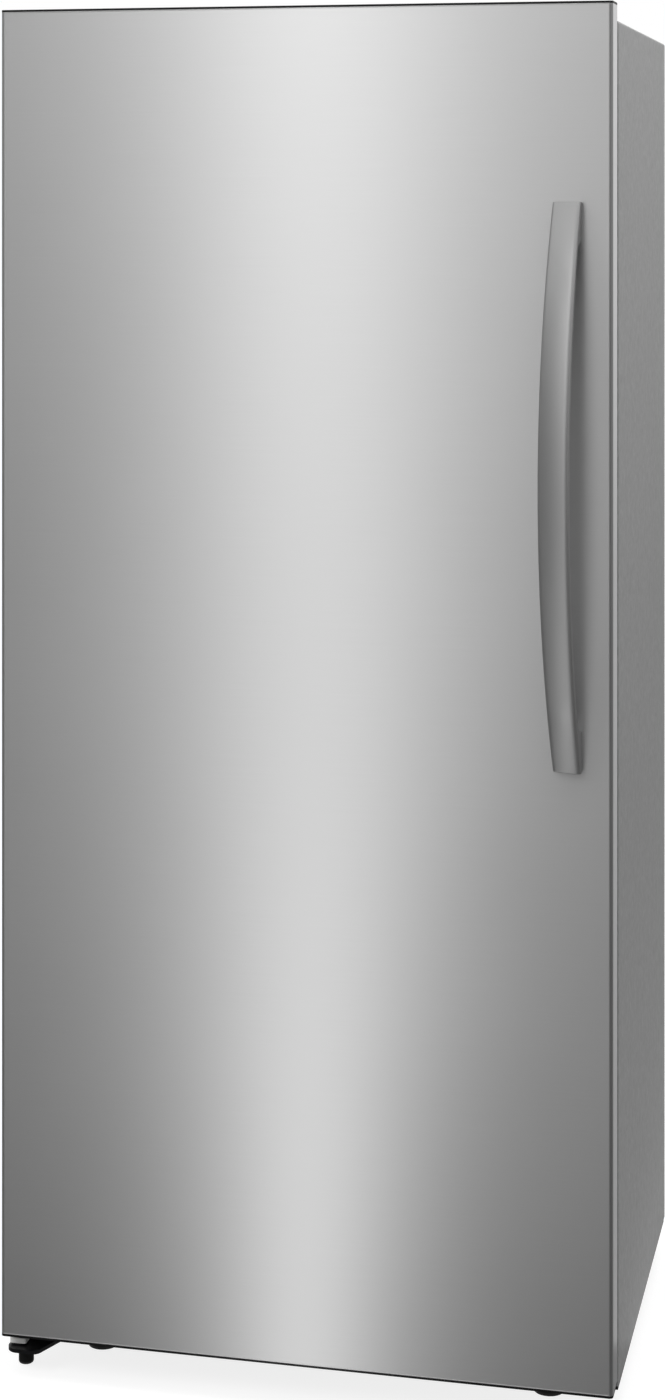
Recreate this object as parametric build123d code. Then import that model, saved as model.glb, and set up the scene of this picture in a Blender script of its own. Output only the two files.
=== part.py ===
"""Upright freezer, single door hinged on the left, in millimetres.

Frame: +Z is up, the front faces -Y, and the door's handle is on the +X side. The origin is the middle of the
footprint, handle included, on the floor. Every piece is a separate solid in its own STEP file.
"""
import os
from math import asin, degrees, radians, tan

from build123d import *

# ---------------------------------------------------------------- driving sizes
CABINET_WIDTH = 838.0
CABINET_HEIGHT = 1800.0
CABINET_DEPTH = 590.0
CABINET_LIFT = 48.0          # floor to the underside of the cabinet's side panels
DOOR_RISE = 22.0             # cabinet's top to the door's top
DOOR_DEPTH = 50.0
DOOR_LIFT = 58.0             # floor to the underside of the door
GASKET_GAP = 10.0            # door's back to cabinet's front
HANDLE_STANDOFF = 85.0       # door's front to the outermost point of the handle

SHEET = 1.0                  # steel sheet
LINER = 2.0                  # vacuum-formed plastic sheet
TOUCH = 0.3                  # gap between pieces of two bodies that bear on each other
SLIP = 0.5                   # side clearance of a piece that lifts or slides past another

# insulated walls and the step over the machine compartment
WALL = 60.0
LINER_LIP = 20.0             # plastic lip round the mouth, inside the steel flange
CORNER = 22.0                # inner corners of the moulded liner
MACHINE_DEPTH = 230.0
MACHINE_HEIGHT = 250.0
STEP_WALL = 50.0
SIDE_CORNER = 4.0            # how much tighter the liner's side corners are than its folds
PANEL_BEND = 4.0             # outer bend of the side panels
TOP_RETURN = 15.0            # part of the roof that belongs to each side panel
BACK_RECESS = 5.0            # back panel's depth inside the side panels
REAR_FLANGE = 35.0           # side panel's flange that the machine cover is screwed to
SILL_FOOT = 12.0             # sill's flange under the foam
RIB_COUNT = 5
RIB_WIDTH = 24.0
RIB_RISE = 3.0
RIB_INSET = 90.0             # back panel's ends to the ends of its ribs

# base, feet and rear wheels
BASE_DEPTH = 6.0
BASE_SHEET = 1.5
BASE_SETBACK = 3.0
FOOT_RADIUS = 21.0
FOOT_THICKNESS = 8.0
FOOT_SETBACK = 76.0          # cabinet's front to the middle of a front foot
FOOT_INSET = 103.0           # cabinet's side to the middle of a front foot
STEM_RADIUS = 5.0
STEM_ABOVE = 12.0            # stem that stands above the underside of the cabinet
STEM_POCKET = 4.0            # room above the stem in the foam
STEM_ROOM = 2.0              # room round the stem in the foam
THREAD_CLEARANCE = 0.3
FOOT_EDGE = 2.5
NECK_RADIUS = 9.0            # corners of the foot's hexagonal neck
NECK_HEIGHT = 7.0
NUT_RADIUS = 11.0
NUT_DROP = 2.0               # weld nut's reach below the base
WHEEL_RADIUS = 20.0
WHEEL_WIDTH = 16.0
TREAD_ROUND = 3.0
TREAD_WIDTH = 5.0            # rim round the dished side of the roller
DISH_DEPTH = 2.5
HUB_WALL = 4.0
WHEEL_SETBACK = 60.0         # cabinet's back to the wheel's axle
WHEEL_INSET = 90.0
AXLE_RADIUS = 3.5
AXLE_CLEARANCE = 0.1
AXLE_END = 1.5               # axle's reach past the fork
FORK_GAP = 1.5               # roller's side to the fork
FORK_SHEET = 2.0
FORK_LENGTH = 48.0
CHEEK_WIDTH = 32.0
CHEEK_EYE = 9.0

# door build-up
CAP_RIM = 3.0                # black end cap that shows above and below the skin
CAP_SKIRT = 19.0
CAP_WALL = 2.0
SKIN_BEND = 5.0
SKIN_BACK_BEND = 2.5
SKIN_RETURN = 12.0           # skin's flange on the back of the door
DIKE_GAP = 8.0               # cold space's wall to the raised ridge of the inner panel
DIKE_WIDTH = 26.0
DIKE_DEPTH = 60.0
DIKE_CORNER = 18.0
DIKE_CREST = 5.0
GASKET_SIDE = 18.0           # door's side to the seal
GASKET_RISE = 16.0           # door's underside to the seal
GASKET_FALL = 10.0           # cabinet's top to the seal
GASKET_WIDTH = 20.0
GASKET_BULB = 4.0
GASKET_FOOT = 2.5
FOOT_INDENT = 4.0            # seal's side to its foot
BELLOWS_INDENT = 2.0

# hinges
HINGE_SIDE = 15.0            # door's side to the hinge axis
HINGE_BACK = 13.0            # door's back to the hinge axis
PIN_RADIUS = 5.0
PIN_CLEARANCE = 0.08
PIN_HEAD = 2.0
PIN_POINT = 1.5
PIN_END_GAP = 2.0
SCREW_RADIUS = 3.0
SCREW_CLEARANCE = 0.2
HEAD_RADIUS = 6.0
HEAD_HEIGHT = 3.2
HEAD_ROUND = 1.6
TOP_PLATE = 4.0
TOP_ARM = 22.0               # width of the arm that reaches over the door
POCKET_FRONT = 28.0          # hinge axis to the front wall of the pocket in the door's top
POCKET_SIDE = 16.0
POCKET_GAP = 2.0
TOP_SCREWS = ((0.0, 24.0), (32.0, 30.0), (12.0, 68.0))  # right of the hinge axis, behind the cabinet's front
TOP_PLATE_START = 5.0        # cabinet's front to the wide part of the upper plate
TOP_PLATE_SHOULDER = 20.0
TOP_PLATE_TAPER = 46.0
TOP_PLATE_END = 80.0
TOP_PLATE_REACH = 44.0       # hinge axis to the plate's right side
TOP_PLATE_TAIL = 26.0
TOP_PLATE_ROUND = 7.0
TOP_ARM_ROOT = 12.0          # overlap of the arm on the wide part
TOP_PIN_DROP = 22.0          # cabinet's top to the upper pin's point
BUSH_DROP = 26.0             # cabinet's top to the underside of the upper bush
BUSH_WALL = 3.5
BUSH_FLANGE = 1.2
BUSH_FLANGE_REACH = 6.0
SOCKET_WALL = 3.0            # wall round the upper bush
HOOD_WALL = 2.0
HOOD_INSET = 1.5             # cabinet's side to the hood over the upper hinge
HOOD_REACH = 50.0            # hinge axis to the hood's right side
HOOD_START = 2.0
HOOD_END = 88.0
HOOD_DROP = 2.0              # door's top to the hood's top
HOOD_CORNER = 8.0
HOOD_EDGE = 3.0
HOOD_STEP = 4.0              # hood's top to the top of its nose over the arm
LOW_PLATE = 5.0
LOW_PLATE_DROP = 22.0        # door's underside to the top of the lower hinge plate
PLATE_BOSS = 2.4             # raised seat round the pin on the lower plate
TAB_INSET = 8.0
TAB_WIDTH = 84.0
TAB_SETBACK = 6.0            # cabinet's front to the lower plate's rear tab
TAB_DEPTH = 56.0
TAB_ROUND = 8.0
TAB_SCREW_SIDE = 14.0
TAB_SCREW_FRONT = 18.0
TAB_SCREW_BACK = 12.0
NOSE_INSET = 2.0
NOSE_SETBACK = 12.0          # door's front to the lower plate's nose
NOSE_REACH = 47.0            # cabinet's side to the nose's right side
ROOT_REACH = 66.0
NOSE_ROUND = 16.0
NOSE_INNER_ROUND = 12.0
CAM_SIDE = 23.0
CAM_HEIGHT = 7.0
CAM_RADIUS = 9.5
CAM_SOCKET = 24.0            # depth of the bush in the door
CAM_ROUND = 2.5
CAM_SOCKET_WALL = 2.5
LEG_RADIUS = 10.5
LEG_HEIGHT = 20.0
LEG_SIDE = 2.0               # hinge axis to the leg, sideways
LEG_BACK = 18.5              # hinge axis to the leg, backwards
LEG_SOLE_ROUND = 3.5
LEG_TOP_ROUND = 2.0
LEG_STEM_ABOVE = 6.0

# handle
HANDLE_LENGTH = 740.0
HANDLE_MIDDLE = 1181.0       # door's underside to the middle of the handle
HANDLE_INSET = 57.0          # door's side to the middle of the handle's ends
HANDLE_WIDTH = 40.0
HANDLE_THICKNESS = 16.0
HANDLE_END_STANDOFF = 18.0
HANDLE_CROWN = 2.0
HANDLE_EDGE = 4.5
HANDLE_BACK_EDGE = 3.5
HANDLE_TAPER = 3.0           # how much narrower the bar's back is, each side
HANDLE_LEAN = 6.5            # degrees that the bow leans towards the hinge side
HANDLE_PAD = 52.0            # length of each solid end
STUD_RADIUS = 4.0
STUD_LENGTH = 12.0
STUD_CLEARANCE = 0.1
STUD_END_GAP = 1.0
PAD_INSET = 4.0              # bar's side to the side of its solid end

# cold compartment
STORE_FRONT = 108.0          # cabinet's front to the shelves' front edge
COVER_SETBACK = 60.0         # liner's back wall to the evaporator cover
COVER_SHEET = 3.0
SHELF_COUNT = 4
SHELF_FIRST = 552.0          # cabinet's underside to the lowest shelf
SHELF_LAST = 318.0           # ceiling of the cold space to the highest shelf
FRAME_WIRE = 3.5             # radius of the shelf's frame wire
FRAME_BEND = 18.0
STAY_WIRE = 2.8
RUNG_WIRE = 2.0
WELD_SINK = 0.8              # how far a rung is welded into the wires under it
SHELF_RUNGS = 27
LEDGE_REACH = 12.0
LEDGE_HEIGHT = 10.0
LEDGE_NOSE = 2.0
SHELF_SIDE_GAP = 3.0
BASKET_WALL = 2.5
BASKET_RIM = 14.0            # rim's reach past the tub's side
BASKET_RIM_HEIGHT = 4.0
BASKET_SIDE_GAP = 9.0
BASKET_CORNER = 24.0
LOW_BASKET_RIM = 288.0       # cabinet's underside to the rim's top
LOW_BASKET_HEIGHT = 222.0
TOP_BASKET_RIM = 520.0
TOP_BASKET_HEIGHT = 205.0
BASKET_BACK_GAP = 8.0
BASKET_SETBACK = 6.0         # shelves' front edge to the baskets
BASKET_DRAFT = 3.0           # degrees
BASKET_END_RIM = 3.0         # rim's reach past the tub's ends
GRIP_WIDTH = 140.0
GRIP_DROP = 26.0
GRIP_ROUND = 10.0
SLOT_COUNT = 9
SLOT_WIDTH = 8.0
SLOT_MARGIN = 34.0
SLOT_TOP = 0.30              # share of the basket's depth, from its rim
SLOT_BOTTOM = 0.72

# door bins
BIN_COUNT = 5
BIN_FIRST = 118.0            # door's underside to the lowest bin
BIN_LAST = 292.0             # ceiling of the cold space to the underside of the highest bin
BIN_DEPTH = 103.0
BIN_HEIGHT = 96.0
BIN_BACK_HEIGHT = 62.0
BIN_WALL = 2.5
BIN_CORNER = 14.0
BIN_BACK_GAP = 1.5
BIN_FOOT_ROUND = 4.0
BIN_SIDE_STEP = 45.0         # low part of the bin's side, from its back
BIN_SIDE_SLOPE = 0.8         # run of the side's slope for each unit of rise
BIN_SIDE_GAP = 7.0
LUG_REACH = 6.0
LUG_DEPTH = 26.0
LUG_HEIGHT = 16.0
LUG_SETBACK = 14.0           # inner panel to the lug
HOOK_WALL = 3.0
HOOK_DROP = 4.0              # bin's back rim to the top of its hook

# controls and air system
HOUSING_WIDTH = 320.0
HOUSING_DEPTH = 120.0
HOUSING_HEIGHT = 44.0
HOUSING_WALL = 2.5
HOUSING_SETBACK = 2.0
HOUSING_CORNER = 10.0
HOUSING_EDGE = 4.0
DIAL_RADIUS = 19.0
DIAL_DEPTH = 13.0
DIAL_OFFSET = 95.0           # housing's middle to the dial
DIAL_EDGE = 1.5
DIAL_BAR = 8.0               # width of the dial's grip bar
DIAL_BAR_INSET = 3.0
DIAL_BAR_ROUND = 2.0
DIAL_BAR_ROOT = 2.0
SPINDLE_RADIUS = 3.0
SPINDLE_REACH = 14.0
LENS_WIDTH = 150.0
LENS_DEPTH = 60.0
LENS_DROP = 8.0
LENS_EDGE = 4.0
GRILLE_PITCH = 13.0
GRILLE_SLOT = 6.0
VENT_COUNT = 17
VENT_PITCH = 36.0
VENT_LENGTH = 26.0
VENT_HEIGHT = 8.0
VENT_INSET = 40.0            # cover's ends to its rows of vents
COVER_RIB_INSET = 60.0
COVER_RIB_WIDTH = 16.0
COVER_RIB_RISE = 1.2
COVER_RIB_END = 90.0
FAN_RADIUS = 60.0
FAN_DROP = 550.0             # ceiling of the cold space to the fan's axis
FAN_BLADES = 5
BLADE_TIP_GAP = 3.0          # blade's tip to the grille's radius
BLADE_ROOT = 3.0             # how far a blade is rooted in the hub
BLADE_WIDTH = 26.0
BLADE_SHEET = 1.6
BLADE_PITCH = 32.0           # degrees
FAN_HUB_RADIUS = 14.0
FAN_HUB_LENGTH = 20.0
FAN_GAP = 2.0                # motor to hub
MOTOR_RADIUS = 22.0
MOTOR_LENGTH = 24.0
SHAFT_RADIUS = 2.5
SHAFT_LENGTH = 12.0
STRAP_REACH = 14.0
STRAP_WIDTH = 18.0
STRAP_SHEET = 3.0
STRAP_GAP = 2.0
COIL_WIDTH = 560.0
COIL_HEIGHT = 300.0
COIL_DEPTH = 38.0
COIL_LIFT = 420.0
FIN_COUNT = 22
FIN_SHEET = 1.0
COIL_ROWS = 4
COIL_TUBE = 4.0
COIL_BEND = 12.0             # tube's reach past the last fin

# machine compartment
COMPRESSOR_RADIUS = 74.0
COMPRESSOR_HEIGHT = 165.0
COMPRESSOR_INSET = 229.0     # cabinet's side to the compressor's axis
GROMMET_RADIUS = 13.0
GROMMET_HEIGHT = 16.0
MOUNT_PLATE = 3.0
MOUNT_PLATE_SINK = 2.0       # how far the plate is welded up round the can
MOUNT_MARGIN = 12.0          # mount's middle to the edge of the plate
MOUNT_SIDE = 72.0
MOUNT_BACK = 52.0
MOUNT_HOLE = 4.5
CAN_FOOT_ROUND = 26.0
CAN_TOP_ROUND = 44.0
SEAM_REACH = 3.0
SEAM_HEIGHT = 5.0
RELAY_REACH = 26.0
RELAY_SINK = 8.0
RELAY_WIDTH = 52.0
RELAY_HEIGHT = 62.0
RELAY_LIFT = 52.0
RELAY_ROUND = 6.0
LINE_SPREAD = 34.0           # compressor's axis to each tube, front and back
LINE_REACH = 34.0
LINE_DROP = 20.0             # compressor's seam to the tubes' roots
LINE_BEND = 18.0
LINE_END_GAP = 2.0
DISCHARGE_RADIUS = 3.2
SUCTION_RADIUS = 4.0
DRIER_RADIUS = 11.0
DRIER_NECK = 3.2
DRIER_LIFT = 70.0
DRIER_LENGTH = 122.0
DRIER_STUB = 12.0
DRIER_CONE = 14.0
PAN_WIDTH = 280.0
PAN_DEPTH = 160.0
PAN_HEIGHT = 46.0
PAN_DRAFT = 4.0              # degrees
PAN_WALL = 2.5
PAN_CORNER = 16.0
COVER_EDGE = 14.0            # machine cover's inset from the opening
COVER_LAP = 14.0             # machine cover's lap over the back panel
LOUVRE_COLUMNS = 4
LOUVRE_ROWS = 8
LOUVRE_LENGTH = 130.0
LOUVRE_HEIGHT = 7.0
LOUVRE_PITCH = 20.0
LOUVRE_MARGIN = 45.0         # cabinet's side to the louvres' columns
LOUVRE_SLOPE = 4.0           # height of a hood above its slot
LOUVRE_SHEET = 0.8
LOUVRE_SETBACK = 0.2         # hoods' faces inside the cabinet's back
LOUVRE_MOUTH = 0.5
COVER_SCREW_SIDE = 12.0
COVER_SCREW_RISE = 10.0
COVER_SCREW_RADIUS = 2.0
COVER_HEAD_RADIUS = 4.0
COVER_HEAD_HEIGHT = 2.4
COVER_HEAD_ROUND = 1.0

# ---------------------------------------------------------------- places worked out from them
OVERALL_DEPTH = HANDLE_STANDOFF + DOOR_DEPTH + GASKET_GAP + CABINET_DEPTH
LEFT = -CABINET_WIDTH / 2
RIGHT = CABINET_WIDTH / 2
DOOR_FRONT = -OVERALL_DEPTH / 2 + HANDLE_STANDOFF
DOOR_BACK = DOOR_FRONT + DOOR_DEPTH
CAB_FRONT = DOOR_BACK + GASKET_GAP
CAB_BACK = CAB_FRONT + CABINET_DEPTH
CAB_BOTTOM = CABINET_LIFT
CAB_TOP = CAB_BOTTOM + CABINET_HEIGHT
DOOR_BOTTOM = DOOR_LIFT
DOOR_TOP = CAB_TOP + DOOR_RISE
SKIN_BOTTOM = DOOR_BOTTOM + CAP_RIM
SKIN_TOP = DOOR_TOP - CAP_RIM
PANEL_BACK = CAB_BACK - BACK_RECESS

CAV_LEFT = LEFT + WALL
CAV_RIGHT = RIGHT - WALL
CAV_BOTTOM = CAB_BOTTOM + WALL
CAV_TOP = CAB_TOP - WALL
CAV_BACK = CAB_BACK - WALL
STEP_FRONT = CAB_BACK - MACHINE_DEPTH - STEP_WALL
STEP_TOP = CAB_BOTTOM + MACHINE_HEIGHT + STEP_WALL
COVER_FRONT = CAV_BACK - COVER_SETBACK
SHELF_FRONT = CAB_FRONT + STORE_FRONT
SHELF_BACK = COVER_FRONT - SHELF_SIDE_GAP

HINGE_X = LEFT + HINGE_SIDE
HINGE_Y = DOOR_BACK - HINGE_BACK
LOW_PLATE_TOP = DOOR_BOTTOM - LOW_PLATE_DROP
LOW_PLATE_BOTTOM = LOW_PLATE_TOP - LOW_PLATE
BASE_BOTTOM = CAB_BOTTOM - BASE_DEPTH
LINER_FACE = DOOR_BACK - SHEET            # flat of the door's inner panel
HANDLE_X = RIGHT - HANDLE_INSET
HANDLE_Z = DOOR_BOTTOM + HANDLE_MIDDLE


def block(x0, x1, y0, y1, z0, z1):
    """A box given by its six faces."""
    return Pos((x0 + x1) / 2, (y0 + y1) / 2, (z0 + z1) / 2) * Box(x1 - x0, y1 - y0, z1 - z0)


def post(x, y, z0, z1, radius):
    """An upright cylinder."""
    return Pos(x, y, (z0 + z1) / 2) * Cylinder(radius, z1 - z0)


def rod_x(x0, x1, y, z, radius):
    """A cylinder along X."""
    return Pos((x0 + x1) / 2, y, z) * Rot(0, 90, 0) * Cylinder(radius, x1 - x0)


def rod_y(x, y0, y1, z, radius):
    """A cylinder along Y."""
    return Pos(x, (y0 + y1) / 2, z) * Rot(90, 0, 0) * Cylinder(radius, y1 - y0)


def edges_along(shape, axis, keep=lambda centre: True):
    """The straight edges of a shape that run along an axis and whose middle passes a test."""
    return [e for e in shape.edges().filter_by(axis) if keep(e.center())]


def plan_slab(outline, z0, z1):
    """A flat plate between two heights, from a closed outline in plan."""
    return extrude(Plane.XY.offset(z0) * make_face(outline), z1 - z0)


# ---------------------------------------------------------------- cabinet shell
def cavity(grow=0.0):
    """The cold space as one solid, grown by a wall thickness, with the step over the machine compartment."""
    profile = Polyline(
        (CAB_FRONT, CAV_BOTTOM - grow), (STEP_FRONT + grow, CAV_BOTTOM - grow),
        (STEP_FRONT + grow, STEP_TOP - grow), (CAV_BACK + grow, STEP_TOP - grow),
        (CAV_BACK + grow, CAV_TOP + grow), (CAB_FRONT, CAV_TOP + grow), close=True)
    x0 = CAV_LEFT - grow
    side = Plane(origin=(x0, 0, 0), x_dir=(0, 1, 0), z_dir=(1, 0, 0))
    solid = extrude(side * make_face(profile), CAV_RIGHT + grow - x0)
    along_x = edges_along(solid, Axis.X, lambda c: c.Y > CAB_FRONT + 1)
    inner_fold = [e for e in along_x if e.center().Y < CAV_BACK - 1 and e.center().Z > CAV_BOTTOM + 1]
    solid = fillet(inner_fold, CORNER - grow)
    along_x = edges_along(solid, Axis.X, lambda c: c.Y > CAB_FRONT + 1)
    folds = [e for e in along_x if abs(e.center().Z - STEP_TOP) > 2 * CORNER or e.center().Y > CAV_BACK - 1]
    solid = fillet(folds, CORNER + grow)
    sides = [e for e in solid.edges()
             if min(abs(e.center().X - x0), abs(e.center().X - CAV_RIGHT - grow)) < 0.01
             and e.center().Y > CAB_FRONT + 1]
    return fillet(sides, CORNER + grow - SIDE_CORNER)


def ledge(side, z_top, y_back):
    """A moulded ledge on one side wall that carries a shelf's edge or a basket's rim."""
    wall = CAV_LEFT if side < 0 else CAV_RIGHT
    x0, x1 = sorted((wall - side * LEDGE_REACH, wall + side * LINER / 2))
    body = block(x0, x1, SHELF_FRONT, y_back, z_top - LEDGE_HEIGHT, z_top)
    nose = edges_along(body, Axis.Y, lambda c: abs(c.X - (wall - side * LEDGE_REACH)) < 0.01)
    return chamfer(nose, LEDGE_NOSE)


def shelf_height(index):
    first, last = CAB_BOTTOM + SHELF_FIRST, CAV_TOP - SHELF_LAST
    return first + index * (last - first) / (SHELF_COUNT - 1)


def inner_liner():
    lip = block(CAV_LEFT - LINER_LIP, CAV_RIGHT + LINER_LIP, CAB_FRONT, CAB_FRONT + LINER,
                CAV_BOTTOM - LINER_LIP, CAV_TOP + LINER_LIP)
    inside = cavity()
    liner = cavity(LINER) + lip - inside
    for side in (-1, 1):
        for index in range(SHELF_COUNT):
            liner += ledge(side, shelf_height(index) - FRAME_WIRE, SHELF_BACK)
        liner += ledge(side, CAB_BOTTOM + TOP_BASKET_RIM - BASKET_RIM_HEIGHT - TOUCH, SHELF_BACK)
        liner += ledge(side, CAB_BOTTOM + LOW_BASKET_RIM - BASKET_RIM_HEIGHT - TOUCH, STEP_FRONT - CORNER)
    return liner


def side_panel(side):
    """Painted steel side with its front flange and the return that starts the roof."""
    outer = block(LEFT, RIGHT, CAB_FRONT, CAB_BACK, CAB_BOTTOM, CAB_TOP)
    outer = fillet(edges_along(outer, Axis.Y, lambda c: c.Z > CAB_TOP - 1), PANEL_BEND)
    inner = block(LEFT + SHEET, RIGHT - SHEET, CAB_FRONT + SHEET, CAB_BACK + 1, CAB_BOTTOM - 1, CAB_TOP - SHEET)
    inner = fillet(edges_along(inner, Axis.Y, lambda c: c.Z > CAB_TOP - SHEET - 1), PANEL_BEND - SHEET)
    seam = CAB_TOP - TOP_RETURN
    low = block(CAV_RIGHT + LINER_LIP, RIGHT + 1, CAB_FRONT - 1, CAB_BACK + 1, CAB_BOTTOM - 1, seam)
    high = block(RIGHT - TOP_RETURN, RIGHT + 1, CAB_FRONT - 1, CAB_BACK + 1, seam - 1, CAB_TOP + 1)
    panel = (outer - inner) & (low + high)
    panel += block(RIGHT - SHEET - REAR_FLANGE, RIGHT - SHEET / 2, PANEL_BACK - SHEET, PANEL_BACK,
                   CAB_BOTTOM, CAB_BOTTOM + MACHINE_HEIGHT)
    return panel if side > 0 else panel.mirror(Plane.YZ)


def roof_panel():
    """Roof between the two side panels, with the front flange above the mouth."""
    edge = RIGHT - TOP_RETURN
    roof = block(-edge, edge, CAB_FRONT, CAB_BACK, CAB_TOP - SHEET, CAB_TOP)
    flange = block(-edge, edge, CAB_FRONT, CAB_FRONT + SHEET, CAV_TOP + LINER_LIP, CAB_TOP)
    corner = block(-edge, edge, CAB_FRONT - 1, CAB_FRONT + SHEET + 1, CAV_TOP, CAB_TOP - TOP_RETURN)
    inner_edge = CAV_RIGHT + LINER_LIP
    corner -= block(-inner_edge, inner_edge, CAB_FRONT - 2, CAB_FRONT + SHEET + 2, CAV_TOP, CAB_TOP)
    return roof + (flange - corner)


def front_sill():
    """Steel bar below the mouth, where the gasket's lower edge pulls on."""
    edge = CAV_RIGHT + LINER_LIP
    bar = block(-edge, edge, CAB_FRONT, CAB_FRONT + SHEET, CAB_BOTTOM, CAV_BOTTOM - LINER_LIP)
    foot = block(-edge, edge, CAB_FRONT, CAB_FRONT + SILL_FOOT, CAB_BOTTOM, CAB_BOTTOM + SHEET)
    return bar + foot


def machine_space(grow=0.0):
    """The unfoamed space at the lower back."""
    return block(LEFT + SHEET, RIGHT - SHEET, CAB_BACK - MACHINE_DEPTH - grow, CAB_BACK + 1,
                 CAB_BOTTOM - 1, CAB_BOTTOM + MACHINE_HEIGHT + grow)


def machine_bulkhead():
    """Steel sheet between the foam and the machine compartment."""
    space = block(LEFT + SHEET, RIGHT - SHEET, CAB_BACK - MACHINE_DEPTH - SHEET, PANEL_BACK - SHEET,
                  CAB_BOTTOM, CAB_BOTTOM + MACHINE_HEIGHT + SHEET)
    return space - machine_space()


def foot_places():
    y = CAB_FRONT + FOOT_SETBACK
    return [(LEFT + FOOT_INSET, y), (RIGHT - FOOT_INSET, y)]


def cabinet_foam():
    foam = block(LEFT + SHEET, RIGHT - SHEET, CAB_FRONT + SHEET, PANEL_BACK - SHEET,
                 CAB_BOTTOM, CAB_TOP - SHEET)
    foam = fillet(edges_along(foam, Axis.Y, lambda c: c.Z > CAB_TOP - SHEET - 1), PANEL_BEND - SHEET)
    foam -= block(CAV_LEFT - LINER_LIP, CAV_RIGHT + LINER_LIP, CAB_FRONT, CAB_FRONT + LINER,
                  CAV_BOTTOM - LINER_LIP, CAV_TOP + LINER_LIP)
    foam -= block(LEFT, RIGHT, CAB_FRONT, CAB_FRONT + SILL_FOOT, CAB_BOTTOM - 1, CAB_BOTTOM + SHEET)
    foam -= cavity(LINER)
    foam -= machine_space(SHEET)
    for x, y in foot_places():
        foam -= post(x, y, CAB_BOTTOM, CAB_BOTTOM + STEM_ABOVE + STEM_POCKET, STEM_RADIUS + STEM_ROOM)
    return foam


def back_panel():
    """Galvanised back with pressed stiffening ribs."""
    z0 = CAB_BOTTOM + MACHINE_HEIGHT
    half = RIGHT - SHEET
    panel = block(-half, half, PANEL_BACK - SHEET, PANEL_BACK, z0, CAB_TOP - SHEET)
    panel = fillet(edges_along(panel, Axis.Y, lambda c: c.Z > CAB_TOP - SHEET - 1), PANEL_BEND - SHEET)
    for index in range(RIB_COUNT):
        x = (index - (RIB_COUNT - 1) / 2) * CABINET_WIDTH / (RIB_COUNT + 1)
        rib = block(x - RIB_WIDTH / 2, x + RIB_WIDTH / 2, PANEL_BACK - SHEET / 2, PANEL_BACK + RIB_RISE,
                    z0 + RIB_INSET, CAB_TOP - RIB_INSET)
        panel += chamfer(rib.faces().sort_by(Axis.Y)[-1].edges(), RIB_RISE - SHEET / 2)
    return panel


# ---------------------------------------------------------------- base, feet and wheels
def base_pan():
    """Black steel tray under the cabinet, open downwards, with weld nuts for the feet."""
    y0 = CAB_FRONT + BASE_SETBACK
    tray = block(LEFT + SHEET, RIGHT - SHEET, y0, PANEL_BACK, BASE_BOTTOM, CAB_BOTTOM)
    inset = SHEET + BASE_SHEET
    tray -= block(LEFT + inset, RIGHT - inset, y0 + BASE_SHEET, PANEL_BACK - BASE_SHEET,
                  BASE_BOTTOM - 1, CAB_BOTTOM - BASE_SHEET)
    tab = hinge_tab()
    tray += block(tab[0], tab[1], y0, tab[3], BASE_BOTTOM, CAB_BOTTOM - BASE_SHEET / 2)
    for x, y in foot_places():
        tray += post(x, y, BASE_BOTTOM - NUT_DROP, CAB_BOTTOM - BASE_SHEET / 2, NUT_RADIUS)
        tray -= post(x, y, BASE_BOTTOM - NUT_DROP - 1, CAB_BOTTOM + 1, STEM_RADIUS + THREAD_CLEARANCE)
    return tray


def levelling_foot(x, y):
    """Round foot with a hexagonal neck on a screwed stem."""
    disc = post(x, y, 0, FOOT_THICKNESS, FOOT_RADIUS)
    disc = chamfer(disc.faces().sort_by(Axis.Z)[-1].edges(), FOOT_EDGE)
    neck = Pos(x, y, FOOT_THICKNESS) * extrude(RegularPolygon(NECK_RADIUS, 6), NECK_HEIGHT)
    return disc + neck + post(x, y, FOOT_THICKNESS, CAB_BOTTOM + STEM_ABOVE, STEM_RADIUS)


def wheel_places():
    y = CAB_BACK - WHEEL_SETBACK
    return [(LEFT + WHEEL_INSET, y), (RIGHT - WHEEL_INSET, y)]


def rear_wheel(x, y):
    """Hard rubber roller with a hub and a rounded tread."""
    half = WHEEL_WIDTH / 2
    wheel = rod_x(x - half, x + half, y, WHEEL_RADIUS, WHEEL_RADIUS)
    wheel = fillet(wheel.edges().filter_by(GeomType.CIRCLE), TREAD_ROUND)
    for side in (-1, 1):
        face = x + side * half
        dish = rod_x(face - DISH_DEPTH, face + DISH_DEPTH, y, WHEEL_RADIUS, WHEEL_RADIUS - TREAD_WIDTH)
        hub = rod_x(face - DISH_DEPTH - 1, face + DISH_DEPTH + 1, y, WHEEL_RADIUS, AXLE_RADIUS + HUB_WALL)
        wheel -= dish - hub
    return wheel - rod_x(x - half - 1, x + half + 1, y, WHEEL_RADIUS, AXLE_RADIUS + AXLE_CLEARANCE)


def wheel_fork(x, y):
    """Folded steel fork that hangs under the base and holds one axle."""
    inside = WHEEL_WIDTH / 2 + FORK_GAP
    outside = inside + FORK_SHEET
    top = CAB_BOTTOM - BASE_SHEET
    fork = block(x - outside, x + outside, y - FORK_LENGTH / 2, y + FORK_LENGTH / 2, top - FORK_SHEET, top)
    for side in (-1, 1):
        x0, x1 = sorted((x + side * inside, x + side * outside))
        cheek = block(x0, x1, y - CHEEK_WIDTH / 2, y + CHEEK_WIDTH / 2, WHEEL_RADIUS, top - FORK_SHEET / 2)
        fork += cheek + rod_x(x0, x1, y, WHEEL_RADIUS, CHEEK_EYE)
    return fork - rod_x(x - outside - 1, x + outside + 1, y, WHEEL_RADIUS, AXLE_RADIUS)


def wheel_brackets():
    return Compound(children=[wheel_fork(x, y) for x, y in wheel_places()])


def wheel_axles():
    reach = WHEEL_WIDTH / 2 + FORK_GAP + FORK_SHEET + AXLE_END
    pins = [rod_x(x - reach, x + reach, y, WHEEL_RADIUS, AXLE_RADIUS) for x, y in wheel_places()]
    return Compound(children=pins)


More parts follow.
